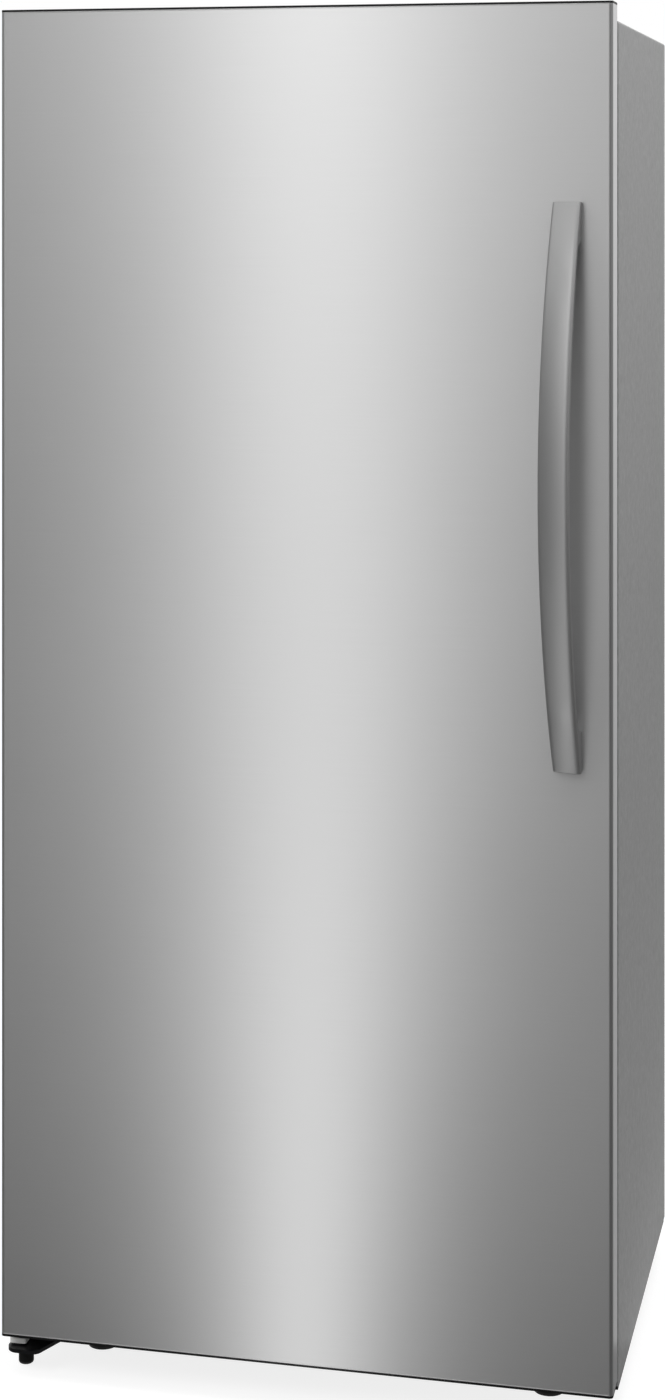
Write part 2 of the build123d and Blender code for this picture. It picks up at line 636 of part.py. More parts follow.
# ---------------------------------------------------------------- hinges
def hinge_tab():
    """Rear tab of the lower hinge plate in plan: x0, x1, y0, y1."""
    x0, y0 = LEFT + TAB_INSET, CAB_FRONT + TAB_SETBACK
    return x0, x0 + TAB_WIDTH, y0, y0 + TAB_DEPTH


def tab_screw_places():
    x0, x1, y0, y1 = hinge_tab()
    return [(x, y) for y in (y0 + TAB_SCREW_FRONT, y1 - TAB_SCREW_BACK)
            for x in (x0 + TAB_SCREW_SIDE, x1 - TAB_SCREW_SIDE)]


def leg_place():
    return HINGE_X + LEG_SIDE, HINGE_Y + LEG_BACK


def bottom_hinge_plate():
    """Black stamped plate: a rounded nose under the door, then a joggle up to a tab under the base."""
    x0, x1, y0, y1 = hinge_tab()
    nose_left, nose_right, root_right = LEFT + NOSE_INSET, LEFT + NOSE_REACH, LEFT + ROOT_REACH
    nose_front, root_back = DOOR_FRONT + NOSE_SETBACK, y0 + LOW_PLATE
    outline = Polyline((nose_left, root_back), (nose_left, nose_front), (nose_right, nose_front),
                       (root_right, CAB_FRONT), (root_right, root_back), close=True)
    nose = plan_slab(outline, LOW_PLATE_BOTTOM, LOW_PLATE_TOP)
    nose = fillet(edges_along(nose, Axis.Z, lambda c: c.Y < nose_front + 1 and c.X < HINGE_X), NOSE_ROUND)
    nose = fillet(edges_along(nose, Axis.Z, lambda c: c.Y < nose_front + 1 and c.X > HINGE_X), NOSE_INNER_ROUND)
    joggle = block(x0, root_right, y0, root_back, LOW_PLATE_BOTTOM, BASE_BOTTOM)
    tab = block(x0, x1, y0, y1, BASE_BOTTOM - LOW_PLATE, BASE_BOTTOM)
    tab = fillet(edges_along(tab, Axis.Z, lambda c: c.Y > y1 - 1), TAB_ROUND)
    seat = post(HINGE_X, HINGE_Y, LOW_PLATE_BOTTOM + 1, LOW_PLATE_TOP + PLATE_BOSS, CAM_SIDE / 2)
    plate = nose + joggle + tab + seat
    plate -= post(HINGE_X, HINGE_Y, LOW_PLATE_BOTTOM - 1, LOW_PLATE_TOP + PLATE_BOSS + 1, PIN_RADIUS)
    leg_x, leg_y = leg_place()
    plate -= post(leg_x, leg_y, LOW_PLATE_BOTTOM - 1, LOW_PLATE_TOP + 1, STEM_RADIUS + THREAD_CLEARANCE)
    for x, y in tab_screw_places():
        plate -= post(x, y, BASE_BOTTOM - LOW_PLATE - 1, BASE_BOTTOM + 1, SCREW_RADIUS + SCREW_CLEARANCE)
    return plate


def bottom_hinge_pin():
    """Hinge pin with a riveted head under the plate."""
    pin = post(HINGE_X, HINGE_Y, LOW_PLATE_BOTTOM, DOOR_BOTTOM + CAM_SOCKET - PIN_END_GAP, PIN_RADIUS)
    pin = chamfer(pin.faces().sort_by(Axis.Z)[-1].edges(), PIN_POINT)
    return pin + post(HINGE_X, HINGE_Y, LOW_PLATE_BOTTOM - PIN_HEAD, LOW_PLATE_BOTTOM, PIN_RADIUS + PIN_HEAD)


def cam_top():
    return LOW_PLATE_TOP + PLATE_BOSS + CAM_HEIGHT


def hinge_cam_lower():
    """Pale nylon block on the plate that the door's cam rides on."""
    half = CAM_SIDE / 2
    z0, z1 = LOW_PLATE_TOP + PLATE_BOSS, cam_top()
    cam = block(HINGE_X - half, HINGE_X + half, HINGE_Y - half, HINGE_Y + half, z0, z1)
    cam = fillet(edges_along(cam, Axis.Z), CAM_ROUND)
    return cam - post(HINGE_X, HINGE_Y, z0 - 1, z1 + 1, PIN_RADIUS)


def hinge_cam_upper():
    """Black bush in the door's lower cap that turns on the pin and carries the door."""
    z0, z1 = cam_top() + TOUCH, DOOR_BOTTOM + CAM_SOCKET
    bush = post(HINGE_X, HINGE_Y, z0, z1, CAM_RADIUS)
    return bush - post(HINGE_X, HINGE_Y, z0 - 1, z1 + 1, PIN_RADIUS + PIN_CLEARANCE)


def hinge_leg():
    """Adjustable leg under the lower hinge plate, with a rounded sole."""
    x, y = leg_place()
    foot = post(x, y, 0, LEG_HEIGHT, LEG_RADIUS)
    foot = fillet(foot.faces().sort_by(Axis.Z)[0].edges(), LEG_SOLE_ROUND)
    foot = fillet(foot.faces().sort_by(Axis.Z)[-1].edges(), LEG_TOP_ROUND)
    return foot + post(x, y, LEG_HEIGHT, LOW_PLATE_TOP + LEG_STEM_ABOVE, STEM_RADIUS)


def pan_head(x, y, z, sign, shank):
    """Pan-head screw that bears at height z: its head is above it for a sign of 1, below it for -1."""
    head = post(x, y, *sorted((z, z + sign * HEAD_HEIGHT)), HEAD_RADIUS)
    head = fillet(head.faces().sort_by(Axis.Z)[-1 if sign > 0 else 0].edges(), HEAD_ROUND)
    return head + post(x, y, *sorted((z, z - sign * shank)), SCREW_RADIUS)


def bottom_hinge_screws():
    z = BASE_BOTTOM - LOW_PLATE
    return Compound(children=[pan_head(x, y, z, -1, LOW_PLATE) for x, y in tab_screw_places()])


def top_screw_places():
    return [(HINGE_X + right, CAB_FRONT + back) for right, back in TOP_SCREWS]


def top_arm(width, z0, z1):
    """The arm that reaches forward over the door, as a slab with a round nose on the hinge axis."""
    arm = block(HINGE_X - width / 2, HINGE_X + width / 2, HINGE_Y, CAB_FRONT + TOP_ARM_ROOT, z0, z1)
    return arm + post(HINGE_X, HINGE_Y, z0, z1, width / 2)


def top_hinge_plate():
    z0, z1 = CAB_TOP, CAB_TOP + TOP_PLATE
    left, right = HINGE_X - TOP_ARM / 2, HINGE_X + TOP_ARM / 2
    start, end = CAB_FRONT + TOP_PLATE_START, CAB_FRONT + TOP_PLATE_END
    outline = Polyline((left, start), (right, start),
                       (HINGE_X + TOP_PLATE_REACH, CAB_FRONT + TOP_PLATE_SHOULDER),
                       (HINGE_X + TOP_PLATE_REACH, CAB_FRONT + TOP_PLATE_TAPER),
                       (HINGE_X + TOP_PLATE_TAIL, end), (left, end), close=True)
    base = plan_slab(outline, z0, z1)
    base = fillet(edges_along(base, Axis.Z, lambda c: c.Y > start + 1), TOP_PLATE_ROUND)
    plate = base + top_arm(TOP_ARM, z0, z1)
    plate -= post(HINGE_X, HINGE_Y, z0 - 1, z1 + 1, PIN_RADIUS)
    for x, y in top_screw_places():
        plate -= post(x, y, z0 - 1, z1 + 1, SCREW_RADIUS + SCREW_CLEARANCE)
    return plate


def top_hinge_pin():
    pin = post(HINGE_X, HINGE_Y, CAB_TOP - TOP_PIN_DROP, CAB_TOP + TOP_PLATE, PIN_RADIUS)
    return chamfer(pin.faces().sort_by(Axis.Z)[0].edges(), PIN_POINT)


def top_hinge_screws():
    z = CAB_TOP + TOP_PLATE
    return Compound(children=[pan_head(x, y, z, 1, TOP_PLATE) for x, y in top_screw_places()])


def top_hinge_cover():
    """Black plastic cap over the upper hinge plate, open underneath."""
    z0, z1 = CAB_TOP, DOOR_TOP - HOOD_DROP
    x0, x1, y0, y1 = LEFT + HOOD_INSET, HINGE_X + HOOD_REACH, CAB_FRONT + HOOD_START, CAB_FRONT + HOOD_END
    wall = HOOD_WALL
    body = block(x0, x1, y0, y1, z0, z1)
    body = fillet(edges_along(body, Axis.Z), HOOD_CORNER)
    body = fillet(body.faces().sort_by(Axis.Z)[-1].edges(), HOOD_EDGE)
    body -= block(x0 + wall, x1 - wall, y0 + wall, y1 - wall, z0 - 1, z1 - wall)
    nose_top = z1 - HOOD_STEP
    nose = top_arm(TOP_ARM, z0 + TOP_PLATE + TOUCH, nose_top)
    nose -= top_arm(TOP_ARM - 2 * wall, z0, nose_top - wall)
    nose -= block(x0, x1, y0 + wall / 2, y1, z0, z1)
    cover = body + nose
    cover -= block(HINGE_X - TOP_ARM / 2 - TOUCH, HINGE_X + TOP_ARM / 2 + TOUCH, y0 - 1, y0 + wall + 1,
                   z0 - 1, z0 + TOP_PLATE + TOUCH)
    return cover


def hinge_bush_top():
    """Nylon bush in the door's upper cap, round the upper pin."""
    floor = pocket_floor()
    bush = post(HINGE_X, HINGE_Y, CAB_TOP - BUSH_DROP, floor, PIN_RADIUS + BUSH_WALL)
    bush += post(HINGE_X, HINGE_Y, floor, floor + BUSH_FLANGE, PIN_RADIUS + BUSH_FLANGE_REACH)
    bore_top = floor + BUSH_FLANGE + 1
    return bush - post(HINGE_X, HINGE_Y, CAB_TOP - BUSH_DROP - 1, bore_top, PIN_RADIUS + PIN_CLEARANCE)


# ---------------------------------------------------------------- door shell
def pocket_floor():
    return CAB_TOP - POCKET_GAP


def hinge_pocket(grow=0.0):
    """Open corner in the door's top where the hinge arm swings."""
    return block(LEFT - 1, HINGE_X + POCKET_SIDE + grow, HINGE_Y - POCKET_FRONT - grow, DOOR_BACK + 1,
                 pocket_floor() - grow, DOOR_TOP + 1)


def door_slab(inset, z0, z1):
    """The door's plan outline, inset all round, between two heights."""
    slab = block(LEFT + inset, RIGHT - inset, DOOR_FRONT + inset, DOOR_BACK - inset, z0, z1)
    front = edges_along(slab, Axis.Z, lambda c: c.Y < DOOR_FRONT + inset + 1)
    slab = fillet(front, SKIN_BEND - inset)
    back = edges_along(slab, Axis.Z, lambda c: c.Y > DOOR_BACK - inset - 1)
    return fillet(back, SKIN_BACK_BEND - inset)


def door_skin():
    """Stainless sheet folded round the front and sides and a little way on to the back."""
    skin = door_slab(0, SKIN_BOTTOM, SKIN_TOP) - door_slab(SHEET, SKIN_BOTTOM - 1, SKIN_TOP + 1)
    skin -= block(LEFT + SKIN_RETURN, RIGHT - SKIN_RETURN, DOOR_BACK - SHEET - 1, DOOR_BACK + 1,
                  SKIN_BOTTOM - 1, SKIN_TOP + 1)
    return skin - hinge_pocket()


def door_cap(z_rim, z_seam, z_skirt):
    """Black end cap: a rim that shows past the skin, and a skirt that plugs into it."""
    rim = door_slab(0, *sorted((z_rim, z_seam)))
    z0, z1 = sorted((z_seam, z_skirt))
    plug = block(LEFT + SHEET, RIGHT - SHEET, DOOR_FRONT + SHEET, LINER_FACE - LINER, z0, z1)
    plug = fillet(edges_along(plug, Axis.Z, lambda c: c.Y < DOOR_FRONT + SHEET + 1), SKIN_BEND - SHEET)
    inset = SHEET + CAP_WALL
    plug -= block(LEFT + inset, RIGHT - inset, DOOR_FRONT + inset, LINER_FACE - LINER - CAP_WALL, z0, z1)
    return rim + plug


def door_top_cap():
    cap = door_cap(DOOR_TOP, SKIN_TOP, SKIN_TOP - CAP_SKIRT)
    room = block(LEFT + SHEET, RIGHT, DOOR_FRONT, LINER_FACE - LINER, CAB_BOTTOM, SKIN_TOP)
    lining = hinge_pocket(CAP_WALL) & room
    bore = PIN_RADIUS + BUSH_WALL
    seat = post(HINGE_X, HINGE_Y, CAB_TOP - BUSH_DROP, pocket_floor(), bore)
    socket = post(HINGE_X, HINGE_Y, CAB_TOP - BUSH_DROP - CAP_WALL, pocket_floor(), bore + SOCKET_WALL) & room
    return cap + lining + socket - hinge_pocket() - seat


def door_bottom_cap():
    cap = door_cap(DOOR_BOTTOM, SKIN_BOTTOM, SKIN_BOTTOM + CAP_SKIRT)
    socket_top = DOOR_BOTTOM + CAM_SOCKET + CAP_WALL
    socket = post(HINGE_X, HINGE_Y, DOOR_BOTTOM, socket_top, CAM_RADIUS + CAM_SOCKET_WALL)
    socket &= block(LEFT + SHEET, RIGHT, DOOR_FRONT, LINER_FACE - LINER, DOOR_BOTTOM, CAB_TOP)
    bore = post(HINGE_X, HINGE_Y, DOOR_BOTTOM - 1, DOOR_BOTTOM + CAM_SOCKET, CAM_RADIUS)
    return cap + socket - bore


def cavity_frame(inset, y0, y1, corner):
    """A slab that fills the cabinet's mouth, inset all round, with rounded corners."""
    slab = block(CAV_LEFT + inset, CAV_RIGHT - inset, y0, y1, CAV_BOTTOM + inset, CAV_TOP - inset)
    return fillet(edges_along(slab, Axis.Y), corner)


def dike(grow=0.0):
    """Raised ridge of the inner panel, as a frame whose section grows by the sheet's thickness."""
    y0, y1 = LINER_FACE - LINER, LINER_FACE - LINER + DIKE_DEPTH + grow
    outset = DIKE_GAP + LINER
    outer = cavity_frame(outset - grow, y0, y1, DIKE_CORNER + grow)
    inner = cavity_frame(outset + DIKE_WIDTH + grow, y0 - 1, y1 + 1, DIKE_CORNER - grow)
    ridge = outer - inner
    crest = [e for e in ridge.edges() if abs(e.center().Y - y1) < 0.01]
    return fillet(crest, DIKE_CREST + grow)


def dike_fillings():
    """Foam of the ridge, as eight blocks that meet: four straight runs and four corners."""
    reach = DIKE_GAP + LINER + DIKE_WIDTH + DIKE_CORNER
    y0, y1 = LINER_FACE - LINER - 1, LINER_FACE + DIKE_DEPTH
    xs = (LEFT, CAV_LEFT + reach, CAV_RIGHT - reach, RIGHT)
    zs = (CAB_BOTTOM, CAV_BOTTOM + reach, CAV_TOP - reach, CAB_TOP)
    ring = dike()
    cells = [(i, k) for i in range(3) for k in range(3) if (i, k) != (1, 1)]
    return [ring & block(xs[i], xs[i + 1], y0, y1, zs[k], zs[k + 1]) for i, k in cells]


def door_foam():
    """Foam of the door: the slab behind the skin, and the filling of the inner panel's ridge."""
    core = block(LEFT + SHEET, RIGHT - SHEET, DOOR_FRONT + SHEET, LINER_FACE - LINER, SKIN_BOTTOM, SKIN_TOP)
    core = fillet(edges_along(core, Axis.Z, lambda c: c.Y < DOOR_FRONT + SHEET + 1), SKIN_BEND - SHEET)
    core -= door_top_cap() + door_bottom_cap() + hinge_pocket()
    core -= post(HINGE_X, HINGE_Y, DOOR_BOTTOM, DOOR_BOTTOM + CAM_SOCKET + CAP_WALL, CAM_RADIUS)
    core -= post(HINGE_X, HINGE_Y, CAB_TOP - BUSH_DROP - CAP_WALL, CAB_TOP, PIN_RADIUS + BUSH_WALL)
    return Compound(children=[core.solids().sort_by(SortBy.VOLUME)[-1], *dike_fillings()])


def bin_side():
    """Inner face of the ridge beside the bins: distance from the door's middle."""
    return CAV_RIGHT - DIKE_GAP - DIKE_WIDTH - 2 * LINER


def bin_bottom(index):
    first, last = DOOR_BOTTOM + BIN_FIRST, CAV_TOP - BIN_LAST
    return first + index * (last - first) / (BIN_COUNT - 1)


def lug_box(side, index):
    """Lug on the ridge that a bin's hook drops over: x0, x1, y0, y1, z0, z1."""
    wall = bin_side()
    x0, x1 = sorted((side * wall, side * (wall - LUG_REACH)))
    y0 = LINER_FACE + LUG_SETBACK
    z1 = bin_bottom(index) + BIN_BACK_HEIGHT - HOOK_WALL - HOOK_DROP
    return x0, x1, y0, y0 + LUG_DEPTH, z1 - LUG_HEIGHT, z1


def door_liner():
    """White vacuum-formed inner panel with its ridge and the lugs for the bins."""
    inset = SKIN_BACK_BEND
    panel = block(LEFT + inset, RIGHT - inset, LINER_FACE - LINER, LINER_FACE, SKIN_BOTTOM, SKIN_TOP)
    panel -= hinge_pocket()
    panel = panel + dike(LINER) - dike()
    for side in (-1, 1):
        for index in range(BIN_COUNT):
            x0, x1, y0, y1, z0, z1 = lug_box(side, index)
            root = side * (bin_side() + LINER / 2)
            panel += block(min(x0, root), max(x1, root), y0, y1, z0, z1)
    return panel


def door_gasket():
    """Magnetic seal: a foot, a narrower bellows and a bulb, run round as a frame."""
    def frame(shrink, y0, y1):
        x, z0, z1 = RIGHT - GASKET_SIDE, DOOR_BOTTOM + GASKET_RISE, CAB_TOP - GASKET_FALL
        far = GASKET_WIDTH - shrink
        ring = block(-x + shrink, x - shrink, y0, y1, z0 + shrink, z1 - shrink)
        return ring - block(-x + far, x - far, y0 - 1, y1 + 1, z0 + far, z1 - far)

    y_seal = CAB_FRONT - TOUCH
    foot = frame(FOOT_INDENT, LINER_FACE, LINER_FACE + GASKET_FOOT)
    bellows = frame(BELLOWS_INDENT, LINER_FACE + GASKET_FOOT, y_seal - GASKET_BULB)
    return foot + bellows + frame(0.0, y_seal - GASKET_BULB, y_seal)


# ---------------------------------------------------------------- handle
def handle_bar():
    """Bowed bar on a circular arc, a crowned section with rounded edges, and solid ends on the door."""
    rise = HANDLE_STANDOFF - HANDLE_END_STANDOFF
    half = HANDLE_LENGTH / 2
    radius = (half ** 2 + rise ** 2) / (2 * rise)
    y_out = DOOR_FRONT - HANDLE_STANDOFF
    w, t, c = HANDLE_WIDTH / 2, HANDLE_THICKNESS, HANDLE_CROWN
    back = w - HANDLE_TAPER
    outline = [
        ThreePointArc((-w, y_out + c), (0, y_out), (w, y_out + c)),
        Line((w, y_out + c), (back, y_out + t)),
        Line((back, y_out + t), (-back, y_out + t)),
        Line((-back, y_out + t), (-w, y_out + c)),
    ]
    section = make_face(outline)
    corners = section.vertices().group_by(Axis.Y)
    section = fillet(corners[0], HANDLE_EDGE)
    section = fillet(section.vertices().group_by(Axis.Y)[-1], HANDLE_BACK_EDGE)
    axis = Axis((0, y_out + radius, 0), (1, 0, 0))
    spare = HANDLE_THICKNESS
    swing = degrees(asin((half + spare) / radius))
    bow = revolve(section.rotate(axis, -swing), axis, 2 * swing)
    for side in (-1, 1):
        z0, z1 = sorted((side * (half - HANDLE_PAD), side * (half + 2)))
        pad = block(-w + PAD_INSET, w - PAD_INSET, DOOR_FRONT - HANDLE_END_STANDOFF - spare, DOOR_FRONT, z0, z1)
        arc_keep = rod_x(-w, w, y_out + radius, 0, radius - HANDLE_THICKNESS / 2)
        bow += pad & arc_keep
    window = block(-w - 1, w + 1, y_out - 1, DOOR_FRONT, -half, half)
    bow &= window
    bow = bow.solids().sort_by(SortBy.VOLUME)[-1]
    placed = Pos(HANDLE_X, DOOR_FRONT, HANDLE_Z) * Rot(0, 0, -HANDLE_LEAN) * Pos(0, -DOOR_FRONT, 0) * bow
    placed &= block(HANDLE_X - HANDLE_WIDTH, HANDLE_X + HANDLE_WIDTH, y_out - spare, DOOR_FRONT,
                    HANDLE_Z - half, HANDLE_Z + half)
    for x, z in stud_places():
        placed -= rod_y(x, DOOR_FRONT - STUD_LENGTH - STUD_END_GAP, DOOR_FRONT + 1, z,
                        STUD_RADIUS + STUD_CLEARANCE)
    return placed


def stud_places():
    offset = HANDLE_LENGTH / 2 - HANDLE_PAD / 2
    return [(HANDLE_X, HANDLE_Z - offset), (HANDLE_X, HANDLE_Z + offset)]


def handle_studs():
    """Shouldered studs on the door that the handle's ends slip over."""
    studs = [rod_y(x, DOOR_FRONT - STUD_LENGTH, DOOR_FRONT, z, STUD_RADIUS) for x, z in stud_places()]
    return Compound(children=studs)


# ---------------------------------------------------------------- shelves, baskets and bins
def wire_shelf(index):
    """Welded wire shelf: a bent frame wire, two cross stays and rungs from front to back."""
    z = shelf_height(index)
    x0, x1 = CAV_LEFT + SHELF_SIDE_GAP, CAV_RIGHT - SHELF_SIDE_GAP
    y0, y1 = SHELF_FRONT + FRAME_WIRE, SHELF_BACK - FRAME_WIRE
    xa, xb = x0 + FRAME_WIRE, x1 - FRAME_WIRE
    outline = Pos((xa + xb) / 2, (y0 + y1) / 2, z) * RectangleRounded(xb - xa, y1 - y0, FRAME_BEND)
    ring = outline.wire()
    section = Plane(origin=ring @ 0, z_dir=ring % 0) * Circle(FRAME_WIRE)
    frame = sweep(section, ring)
    pieces = []
    for share in (1 / 3, 2 / 3):
        pieces.append(rod_x(xa, xb, y0 + (y1 - y0) * share, z + FRAME_WIRE - STAY_WIRE, STAY_WIRE))
    rung_z = z + FRAME_WIRE + RUNG_WIRE - WELD_SINK
    span = xb - xa - 2 * FRAME_BEND
    for k in range(SHELF_RUNGS):
        x = xa + FRAME_BEND + span * k / (SHELF_RUNGS - 1)
        pieces.append(rod_y(x, y0 - RUNG_WIRE, y1 + RUNG_WIRE, rung_z, RUNG_WIRE))
    return frame + pieces


def tub(x0, x1, y0, y1, z0, z1, draft, wall, corner):
    """Open-topped moulded tub, wider at the rim, with rounded upright corners."""
    def shape(inset, z_low):
        height = z1 - z_low
        sketch = Pos((x0 + x1) / 2, (y0 + y1) / 2) * RectangleRounded(
            x1 - x0 - 2 * inset, y1 - y0 - 2 * inset, corner - inset)
        return extrude(Plane.XY.offset(z1) * sketch, -height, taper=draft)

    return shape(0, z0) - shape(wall, z0 + wall)


def basket(z_rim, height, y_back):
    """Slide-out basket: a drafted tub with a rim that runs on the liner's ledges, and a front grip lip."""
    half = CAV_RIGHT - BASKET_SIDE_GAP - BASKET_RIM
    y0, y1 = SHELF_FRONT + BASKET_SETBACK, y_back
    body = tub(-half, half, y0, y1, z_rim - height, z_rim, BASKET_DRAFT, BASKET_WALL, BASKET_CORNER)
    rim = Pos(0, (y0 + y1) / 2) * RectangleRounded(2 * (half + BASKET_RIM), y1 - y0 + 2 * BASKET_END_RIM,
                                                   BASKET_CORNER)
    hole = Pos(0, (y0 + y1) / 2) * RectangleRounded(2 * (half - BASKET_WALL), y1 - y0 - 2 * BASKET_WALL,
                                                   BASKET_CORNER - BASKET_WALL)
    body += extrude(Plane.XY.offset(z_rim - BASKET_RIM_HEIGHT) * (rim - hole), BASKET_RIM_HEIGHT)
    grip = block(-GRIP_WIDTH / 2, GRIP_WIDTH / 2, y0 - BASKET_END_RIM, y0 + BASKET_WALL,
                 z_rim - GRIP_DROP, z_rim)
    grip = fillet(edges_along(grip, Axis.Y, lambda c: c.Z < z_rim - 1), GRIP_ROUND)
    body += grip
    wall_low = half - height * tan(radians(BASKET_DRAFT)) - 2 * BASKET_WALL
    for k in range(SLOT_COUNT):
        y = y0 + SLOT_MARGIN + (y1 - y0 - 2 * SLOT_MARGIN) * k / (SLOT_COUNT - 1)
        for side in (-1, 1):
            body -= block(*sorted((side * wall_low, side * (half + 1))), y - SLOT_WIDTH / 2, y + SLOT_WIDTH / 2,
                          z_rim - height * SLOT_BOTTOM, z_rim - height * SLOT_TOP)
    return body


def basket_upper():
    return basket(CAB_BOTTOM + TOP_BASKET_RIM, TOP_BASKET_HEIGHT, SHELF_BACK - BASKET_BACK_GAP)


def basket_lower():
    return basket(CAB_BOTTOM + LOW_BASKET_RIM, LOW_BASKET_HEIGHT, STEP_FRONT - BASKET_BACK_GAP)


def door_bin(index):
    """Moulded door bin: deep front, low back, and a hook at each end that drops over a lug."""
    z0 = bin_bottom(index)
    x = bin_side() - BIN_SIDE_GAP
    y0, y1 = LINER_FACE + BIN_BACK_GAP, LINER_FACE + BIN_DEPTH
    outer = block(-x, x, y0, y1, z0, z0 + BIN_HEIGHT)
    outer = fillet(edges_along(outer, Axis.Z, lambda c: c.Y > y1 - 1), BIN_CORNER)
    outer = fillet(outer.faces().sort_by(Axis.Z)[0].edges(), BIN_FOOT_ROUND)
    inner = block(-x + BIN_WALL, x - BIN_WALL, y0 + BIN_WALL, y1 - BIN_WALL, z0 + BIN_WALL, z0 + BIN_HEIGHT + 1)
    inner = fillet(edges_along(inner, Axis.Z, lambda c: c.Y > y1 - BIN_WALL - 1), BIN_CORNER - BIN_WALL)
    side = Plane(origin=(-x - 1, 0, 0), x_dir=(0, 1, 0), z_dir=(1, 0, 0))
    slope_start = y0 + BIN_SIDE_STEP
    slope_end = slope_start + (BIN_HEIGHT - BIN_BACK_HEIGHT) * BIN_SIDE_SLOPE
    step = Polyline((y0 - 1, z0 + BIN_HEIGHT + 1), (y0 - 1, z0 + BIN_BACK_HEIGHT),
                    (slope_start, z0 + BIN_BACK_HEIGHT), (slope_end, z0 + BIN_HEIGHT),
                    (slope_end, z0 + BIN_HEIGHT + 1), close=True)
    tray = outer - inner - extrude(side * make_face(step), 2 * x + 2)
    for s in (-1, 1):
        lx0, lx1, ly0, ly1, lz0, lz1 = lug_box(s, index)
        wall_x = s * x
        far_x = s * (bin_side() - SLIP)
        xa, xb = sorted((wall_x - s * BIN_WALL / 2, far_x))
        hook = block(xa, xb, ly0 - SLIP - HOOK_WALL, ly1 + SLIP + HOOK_WALL, lz0, lz1 + TOUCH + HOOK_WALL)
        xc, xd = sorted((wall_x, far_x + s))
        hook -= block(xc, xd, ly0 - SLIP, ly1 + SLIP, lz0 - 1, lz1 + TOUCH)
        tray += hook
    return tray


# ---------------------------------------------------------------- controls, light and air system
def housing_box():
    """Control housing under the ceiling: x0, x1, y0, y1, z0, z1."""
    y0 = SHELF_FRONT + HOUSING_SETBACK
    return -HOUSING_WIDTH / 2, HOUSING_WIDTH / 2, y0, y0 + HOUSING_DEPTH, CAV_TOP - HOUSING_HEIGHT, CAV_TOP


def control_housing():
    """White moulded housing that carries the dial and the lamp's lens."""
    x0, x1, y0, y1, z0, z1 = housing_box()
    body = block(x0, x1, y0, y1, z0, z1)
    body = fillet(edges_along(body, Axis.Z), HOUSING_CORNER)
    body = fillet(body.faces().sort_by(Axis.Z)[0].edges(), HOUSING_EDGE)
    w = HOUSING_WALL
    body -= block(x0 + w, x1 - w, y0 + w, y1 - w, z0 + w, z1 + 1)
    body -= rod_y((x0 + x1) / 2 + DIAL_OFFSET, y0 - 1, y0 + w + 1, (z0 + z1) / 2, SPINDLE_RADIUS + TOUCH)
    yc = (y0 + y1) / 2
    return body - block(-LENS_WIDTH / 2, LENS_WIDTH / 2, yc - LENS_DEPTH / 2, yc + LENS_DEPTH / 2,
                        z0 - 1, z0 + w + 1)


def light_lens():
    """Translucent lens in the underside of the housing."""
    _, _, y0, y1, z0, _ = housing_box()
    yc = (y0 + y1) / 2
    lens = block(-LENS_WIDTH / 2, LENS_WIDTH / 2, yc - LENS_DEPTH / 2, yc + LENS_DEPTH / 2,
                 z0 - LENS_DROP, z0 + HOUSING_WALL)
    return fillet(lens.faces().sort_by(Axis.Z)[0].edges(), LENS_EDGE)


def control_dial():
    """Temperature knob with a grip bar, on a spindle through the housing."""
    x0, x1, y0, y1, z0, z1 = housing_box()
    x = (x0 + x1) / 2 + DIAL_OFFSET
    z = (z0 + z1) / 2
    back = y0 - TOUCH
    knob = rod_y(x, back - DIAL_DEPTH / 2, back, z, DIAL_RADIUS)
    knob = fillet(knob.faces().sort_by(Axis.Y)[0].edges(), DIAL_EDGE)
    reach = DIAL_RADIUS - DIAL_BAR_INSET
    grip = block(x - DIAL_BAR / 2, x + DIAL_BAR / 2, back - DIAL_DEPTH, back - DIAL_BAR_ROOT,
                 z - reach, z + reach)
    grip = fillet(edges_along(grip, Axis.Y), DIAL_BAR_ROUND)
    return knob + grip + rod_y(x, back - DIAL_BAR_ROOT, y0 + SPINDLE_REACH, z, SPINDLE_RADIUS)


def evaporator_cover():
    """White panel in front of the cold coil, with an air grille before the fan and slots at top and bottom."""
    half = CAV_RIGHT - TOUCH
    z0, z1 = STEP_TOP, CAV_TOP - TOUCH
    panel = block(-half, half, COVER_FRONT, COVER_FRONT + COVER_SHEET, z0, z1)
    panel = fillet(edges_along(panel, Axis.Y), CORNER)
    cut0, cut1 = COVER_FRONT - 1, COVER_FRONT + COVER_SHEET + 1
    rows = int(FAN_RADIUS / GRILLE_PITCH)
    for row in range(-rows, rows + 1):
        rise = row * GRILLE_PITCH
        chord = (FAN_RADIUS ** 2 - rise ** 2) ** 0.5
        z = CAV_TOP - FAN_DROP + rise
        panel -= block(-chord, chord, cut0, cut1, z - GRILLE_SLOT / 2, z + GRILLE_SLOT / 2)
    for z in (z1 - VENT_INSET, z0 + VENT_INSET):
        for k in range(VENT_COUNT):
            x = (k - (VENT_COUNT - 1) / 2) * VENT_PITCH
            panel -= block(x - VENT_LENGTH / 2, x + VENT_LENGTH / 2, cut0, cut1,
                           z - VENT_HEIGHT / 2, z + VENT_HEIGHT / 2)
    for x in (-half + COVER_RIB_INSET, half - COVER_RIB_INSET):
        panel += block(x - COVER_RIB_WIDTH / 2, x + COVER_RIB_WIDTH / 2, COVER_FRONT - COVER_RIB_RISE,
                       COVER_FRONT + COVER_SHEET / 2, z0 + COVER_RIB_END, z1 - COVER_RIB_END)
    return panel


